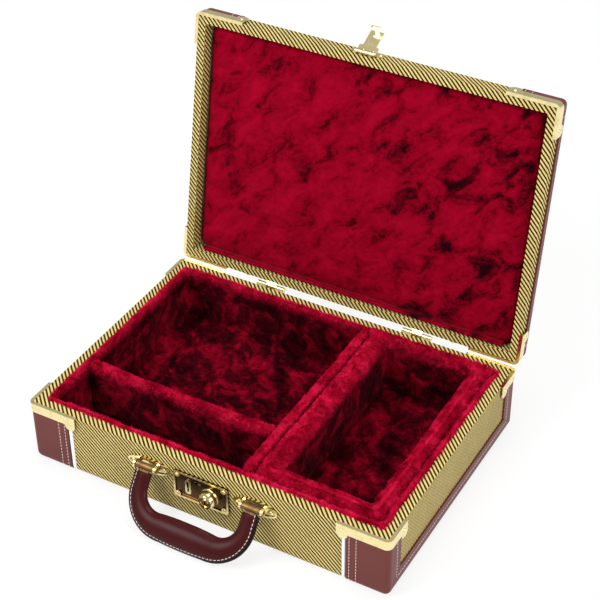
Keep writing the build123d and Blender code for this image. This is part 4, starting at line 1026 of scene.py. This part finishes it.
def lid_panel():
    """The lid's padded panel, drawn with the lid closed, its crown downwards."""
    low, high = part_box("lid_plush_panel")
    length = high.x - low.x
    depth = 2 * HALF_DEPTH - (2 * HALF_LENGTH - length)
    rings = [
        (length - 2 * MM, depth - 2 * MM, 7 * MM, 0, 0, PANEL_FOOT),
        (length, depth, 8 * MM, 0, 0, (PANEL_FOOT + PANEL_EDGE) / 2),
    ]
    # Rows of the face, closer together near its edge, where it swells
    rows, closeness = 56, 1.5
    first_inset, inner_half = 4 * MM, 8 * MM
    swell, corner = 3.2, 9 * MM
    for row in range(rows):
        share = row / (rows - 1)
        inset = first_inset + share ** closeness * (depth / 2 - (first_inset + inner_half))
        bulge = min(1.0, share * swell)
        height = PANEL_EDGE + (PANEL_CROWN - PANEL_EDGE) * sin(bulge * pi / 2)
        rings.append((length - 2 * inset, depth - 2 * inset, corner, 0, 0, height))
    mesh = stacked_rings("lid_plush_pillow", rings, placed=swing)
    press_dimple(mesh)
    fluff(mesh, 0.6 * MM, 0.5 * MM)
    lid_pad("lid_plush_pillow", mesh)


def lid_hem():
    """The hem of the lid's plush at the hinge side, drawn with the lid closed."""
    low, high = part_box("lid_plush_panel")
    length = high.x - low.x - 16.4 * MM
    thick = HEM_OUT - HEM_IN
    middle_y = (HEM_OUT + HEM_IN) / 2
    corner = 1 * MM
    sides = reversed(levels(HEM_CREST + thick / 2, PANEL_FOOT))
    rings = [(length, thick, corner, 0, middle_y, z) for z in sides]
    for inset, z in crown(-HEM_CREST, thick / 2, 5):
        rings.append((length, thick - 1.9 * inset, corner, 0, middle_y, -z))
    mesh = stacked_rings("lid_plush_hem", rings, placed=swing)
    fluff(mesh, 0.2 * MM, 0.5 * MM)
    lid_pad("lid_plush_hem", mesh)


def handle_point(side, out, up):
    """A point of the handle's own plane."""
    return Vector((side, GRIP_PIN.y, GRIP_PIN.z)) + GRIP_OUT * out + GRIP_UP * up


def handle_stations(step):
    """(middle x, out, outward x, outward out, share of the way to the grip) along the handle."""
    leg = GRIP_REACH - GRIP_BEND - COVER_START
    bend = GRIP_BEND * pi / 2
    grip = BRACKET_X - GRIP_BEND
    half = leg + bend + grip
    count = round(half / step)
    stations = []
    for index in range(count + 1):
        s = half * index / count
        if s <= leg:
            station = (-BRACKET_X, COVER_START + s, -1.0, 0.0)
        elif s <= leg + bend:
            angle = (s - leg) / GRIP_BEND
            station = (
                -BRACKET_X + GRIP_BEND * (1 - cos(angle)),
                GRIP_REACH - GRIP_BEND + GRIP_BEND * sin(angle),
                -cos(angle),
                sin(angle),
            )
        else:
            station = (-grip + s - leg - bend, GRIP_REACH, 0.0, 1.0)
        share = min(1.0, max(0.0, (s / half - SWELL_FROM) / SWELL_LENGTH))
        stations.append((*station, share * share * (3 - 2 * share)))
    mirrored = [(-x, out, -nx, no, share) for x, out, nx, no, share in reversed(stations[:-1])]
    return stations + mirrored


def handle_half_sizes(share):
    """Half of the leather's width and thickness, from its ends to the grip."""
    return (7.1 + 4.4 * share) * MM, (3.9 + 3.2 * share) * MM


def handle_section(share):
    """(across, up) points round the leather: an oval with a flange on its outer side."""
    half_width, half_height = handle_half_sizes(share)
    section = []
    for index in range(COVER_SIDES):
        angle = tau * index / COVER_SIDES
        c, s = cos(angle), sin(angle)
        reach = 1 / ((c / half_width) ** 2 + (s / half_height) ** 2) ** 0.5
        if c > 0:
            flange = min((half_width + FLANGE_REACH) / c, FLANGE_HALF / max(abs(s), 1e-6))
            reach = max(reach, flange)
        section.append((reach * c, reach * s))
    return section


def handle_cover():
    """The handle's leather: full in the hand, flatter at its ends, with a sewn edge outside."""
    rows = []
    for x, out, outward_x, outward_out, share in handle_stations(1.6 * MM):
        rows.append([
            handle_point(x + outward_x * across, out + outward_out * across, up)
            for across, up in handle_section(share)
        ])
    mesh = skin("handle_leather_cover", rows)
    cut_edge = mesh.attributes.new("cut_edge", "FLOAT", "POINT")
    for index, value in enumerate(cut_edge.data):
        outermost = cos(tau * (index % COVER_SIDES) / COVER_SIDES) > 0.97
        value.value = 1.0 if outermost else 0.0
    piece = new_piece("handle_leather_cover", mesh, "handle", HANDLE_FINISH)
    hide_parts("handle_cover")


def wrap_path(half, x, start, inset=0.0):
    """(point, outward) from a height down the front of a half, under it and up its back."""
    out = HALF_DEPTH + VINYL
    front = [(Vector((x, -out + inset, start)), Vector((0, -1, 0)))]
    for step in range(9):
        angle = pi / 2 * step / 8
        outward = Vector((0, -cos(angle), -sin(angle)))
        middle = Vector((x, -out + half.edge, half.underside + half.edge))
        front.append((middle + outward * (half.edge - inset), outward))
    mirror = Vector((1, -1, 1))
    return front + [(point * mirror, outward * mirror) for point, outward in reversed(front)]


def end_line(half, x):
    """Corners of the row of stitches in the border on an end face: down, along and up."""
    reach = HALF_DEPTH - UPRIGHT_BORDER + END_ROW
    start = half.height - STRIP_CLEAR
    level = half.border - END_ROW
    corners = ((-reach, start), (-reach, level), (reach, level), (reach, start))
    return [Vector((x, y, z)) for y, z in corners]


def piping(half, hand, side):
    """A white cord with a round crest, in the place of a flat one of the CAD."""
    x = side * (BAND_FROM - PIPING_GROOVE - PIPING_HALF)
    rows = []
    for point, outward in wrap_path(half, x, half.height, VINYL):
        row = []
        for index in range(PIPING_POINTS):
            angle = pi * index / (PIPING_POINTS - 1)
            aside = Vector((PIPING_HALF * cos(angle), 0, 0))
            row.append(half.placed(point + aside + outward * PIPING_CREST * sin(angle)))
        rows.append(row)
    name = f"{half.body}_cord_{hand}"
    mesh = skin(name, rows)
    for face in mesh.polygons:
        face.use_smooth = len(face.vertices) == 4
    piece = new_piece(name, mesh, half.body, PIPING)
    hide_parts(f"{half.body}_piping_{hand}")


def sew(name, lines, body):
    """Rows of stitches along lists of points, as one plain mesh on a body."""
    guide_mesh = bpy.data.meshes.new(name + "_guide")
    points, edges = [], []
    for line in lines:
        start = len(points)
        points.extend(line)
        edges.extend((start + i, start + i + 1) for i in range(len(line) - 1))
    guide_mesh.from_pydata(points, edges, [])
    inputs = {
        "Spacing": STITCH_SPACING, "Length": STITCH_LENGTH, "Width": STITCH_WIDTH, "Finish": THREAD,
    }
    mesh = grown(name, guide_mesh, STITCHES, inputs)
    for face in mesh.polygons:
        face.use_smooth = True
    new_piece(name, mesh, body, THREAD)


def trimming(half):
    """The pipings of a half, and the rows of stitches on its vinyl."""
    lines = []
    for hand, side in (("left", -1), ("right", 1)):
        piping(half, hand, side)
        for inset in BAND_ROWS:
            path = wrap_path(half, side * (BAND_FROM + inset), half.height - STRIP_CLEAR)
            lines.append([half.placed(point) for point, _ in path])
        row = end_line(half, side * (HALF_LENGTH + VINYL))
        lines.append([half.placed(point) for point in row])
    sew(f"{half.body}_stitches", lines, half.body)


def handle_stitches():
    """The row of stitches along the outer edge of the handle's leather."""
    edge = []
    for x, out, outward_x, outward_out, share in handle_stations(2 * MM):
        half_width, half_height = handle_half_sizes(share)
        across = half_width - HANDLE_ROW
        up = half_height * (1 - (across / half_width) ** 2) ** 0.5
        edge.append(handle_point(x + outward_x * across, out + outward_out * across, up))
    sew("handle_stitches", [edge], "handle")


def studio_floor():
    """A pale floor that takes shadows and glows nearly white for the camera and in reflections."""
    mesh = bpy.data.meshes.new("studio_floor")
    corners = [(-1, -1), (1, -1), (1, 1), (-1, 1)]
    points = [(x * FLOOR_HALF, y * FLOOR_HALF, FLOOR_LEVEL) for x, y in corners]
    mesh.from_pydata(points, [], [(0, 1, 2, 3)])
    floor = bpy.data.objects.new("studio_floor", mesh)
    bpy.context.scene.collection.objects.link(floor)
    pale = Finish("pale_floor", Roughness=0.9, Specular_IOR_Level=0.0)
    pale.set("Base Color", (0.95, 0.95, 0.95))
    by_camera = pale.node("LightPath", {}, {}, "Is Camera Ray")
    in_mirror = pale.node("LightPath", {}, {}, "Is Glossy Ray")
    shaded = Value(pale, pale.shader.outputs[0])
    white = pale.node("Emission", {}, {"Color": (1, 1, 1), "Strength": 1.0})
    share = (by_camera + in_mirror) * FLOOR_GLOW
    mixed = pale.node("MixShader", {}, {0: share, 1: shaded, 2: white})
    feed(pale.tree, pale.tree.nodes["Material Output"].inputs["Surface"], mixed)
    mesh.materials.append(pale.material)


def studio_world():
    """White surroundings: full for the camera, dimmer as a light."""
    world = bpy.data.worlds.new("studio_world")
    bpy.context.scene.world = world
    world.use_nodes = True
    tree = world.node_tree
    light_path = add_node(tree, "ShaderNodeLightPath", {}, {})
    strength = add_node(
        tree, "ShaderNodeMath", {"operation": "MULTIPLY_ADD"},
        {0: light_path["Is Camera Ray"], 1: 1 - AMBIENT, 2: AMBIENT},
    )
    background = tree.nodes["Background"]
    feed(tree, background.inputs["Color"], (1, 1, 1))
    feed(tree, background.inputs["Strength"], strength[0])


def studio_lamps():
    """Square soft lamps, each aimed at the case."""
    for name, spot, size, power in LAMPS:
        data = bpy.data.lights.new(name, "AREA")
        data.size = size
        data.energy = power
        lamp = bpy.data.objects.new(name, data)
        lamp.location = spot
        lamp.rotation_euler = (LAMP_AIM - Vector(spot)).to_track_quat("-Z", "Y").to_euler()
        bpy.context.scene.collection.objects.link(lamp)


def studio_camera():
    """The photograph's camera, fitted to the corners of the box."""
    camera_data = bpy.data.cameras.new("camera")
    camera_data.lens = LENS
    camera_data.sensor_width = SENSOR
    camera = bpy.data.objects.new("camera", camera_data)
    back = Vector((
        sin(AZIMUTH) * cos(ELEVATION), -cos(AZIMUTH) * cos(ELEVATION), sin(ELEVATION),
    ))
    right = (-back).cross(Vector((0, 0, 1))).normalized()
    up = right.cross(-back)
    turned_right = right * cos(ROLL) + up * sin(ROLL)
    turned_up = up * cos(ROLL) - right * sin(ROLL)
    axes = Matrix((turned_right, turned_up, back)).transposed()
    camera.matrix_world = Matrix.Translation(LOOK_AT + back * DISTANCE) @ axes.to_4x4()
    bpy.context.scene.collection.objects.link(camera)
    bpy.context.scene.camera = camera
    bpy.context.scene.view_settings.view_transform = "Standard"


finish_cad_nodes()
base_lining()
block_pad("long_divider", "plush_long_divider", "y", right_share=0.4)
block_pad("cross_divider", "plush_cross_divider", "x")
padded_frame()
frame_back()
lid_panel()
lid_hem()
handle_cover()
trimming(BASE)
trimming(LID)
handle_stitches()
studio_floor()
studio_world()
studio_lamps()
studio_camera()
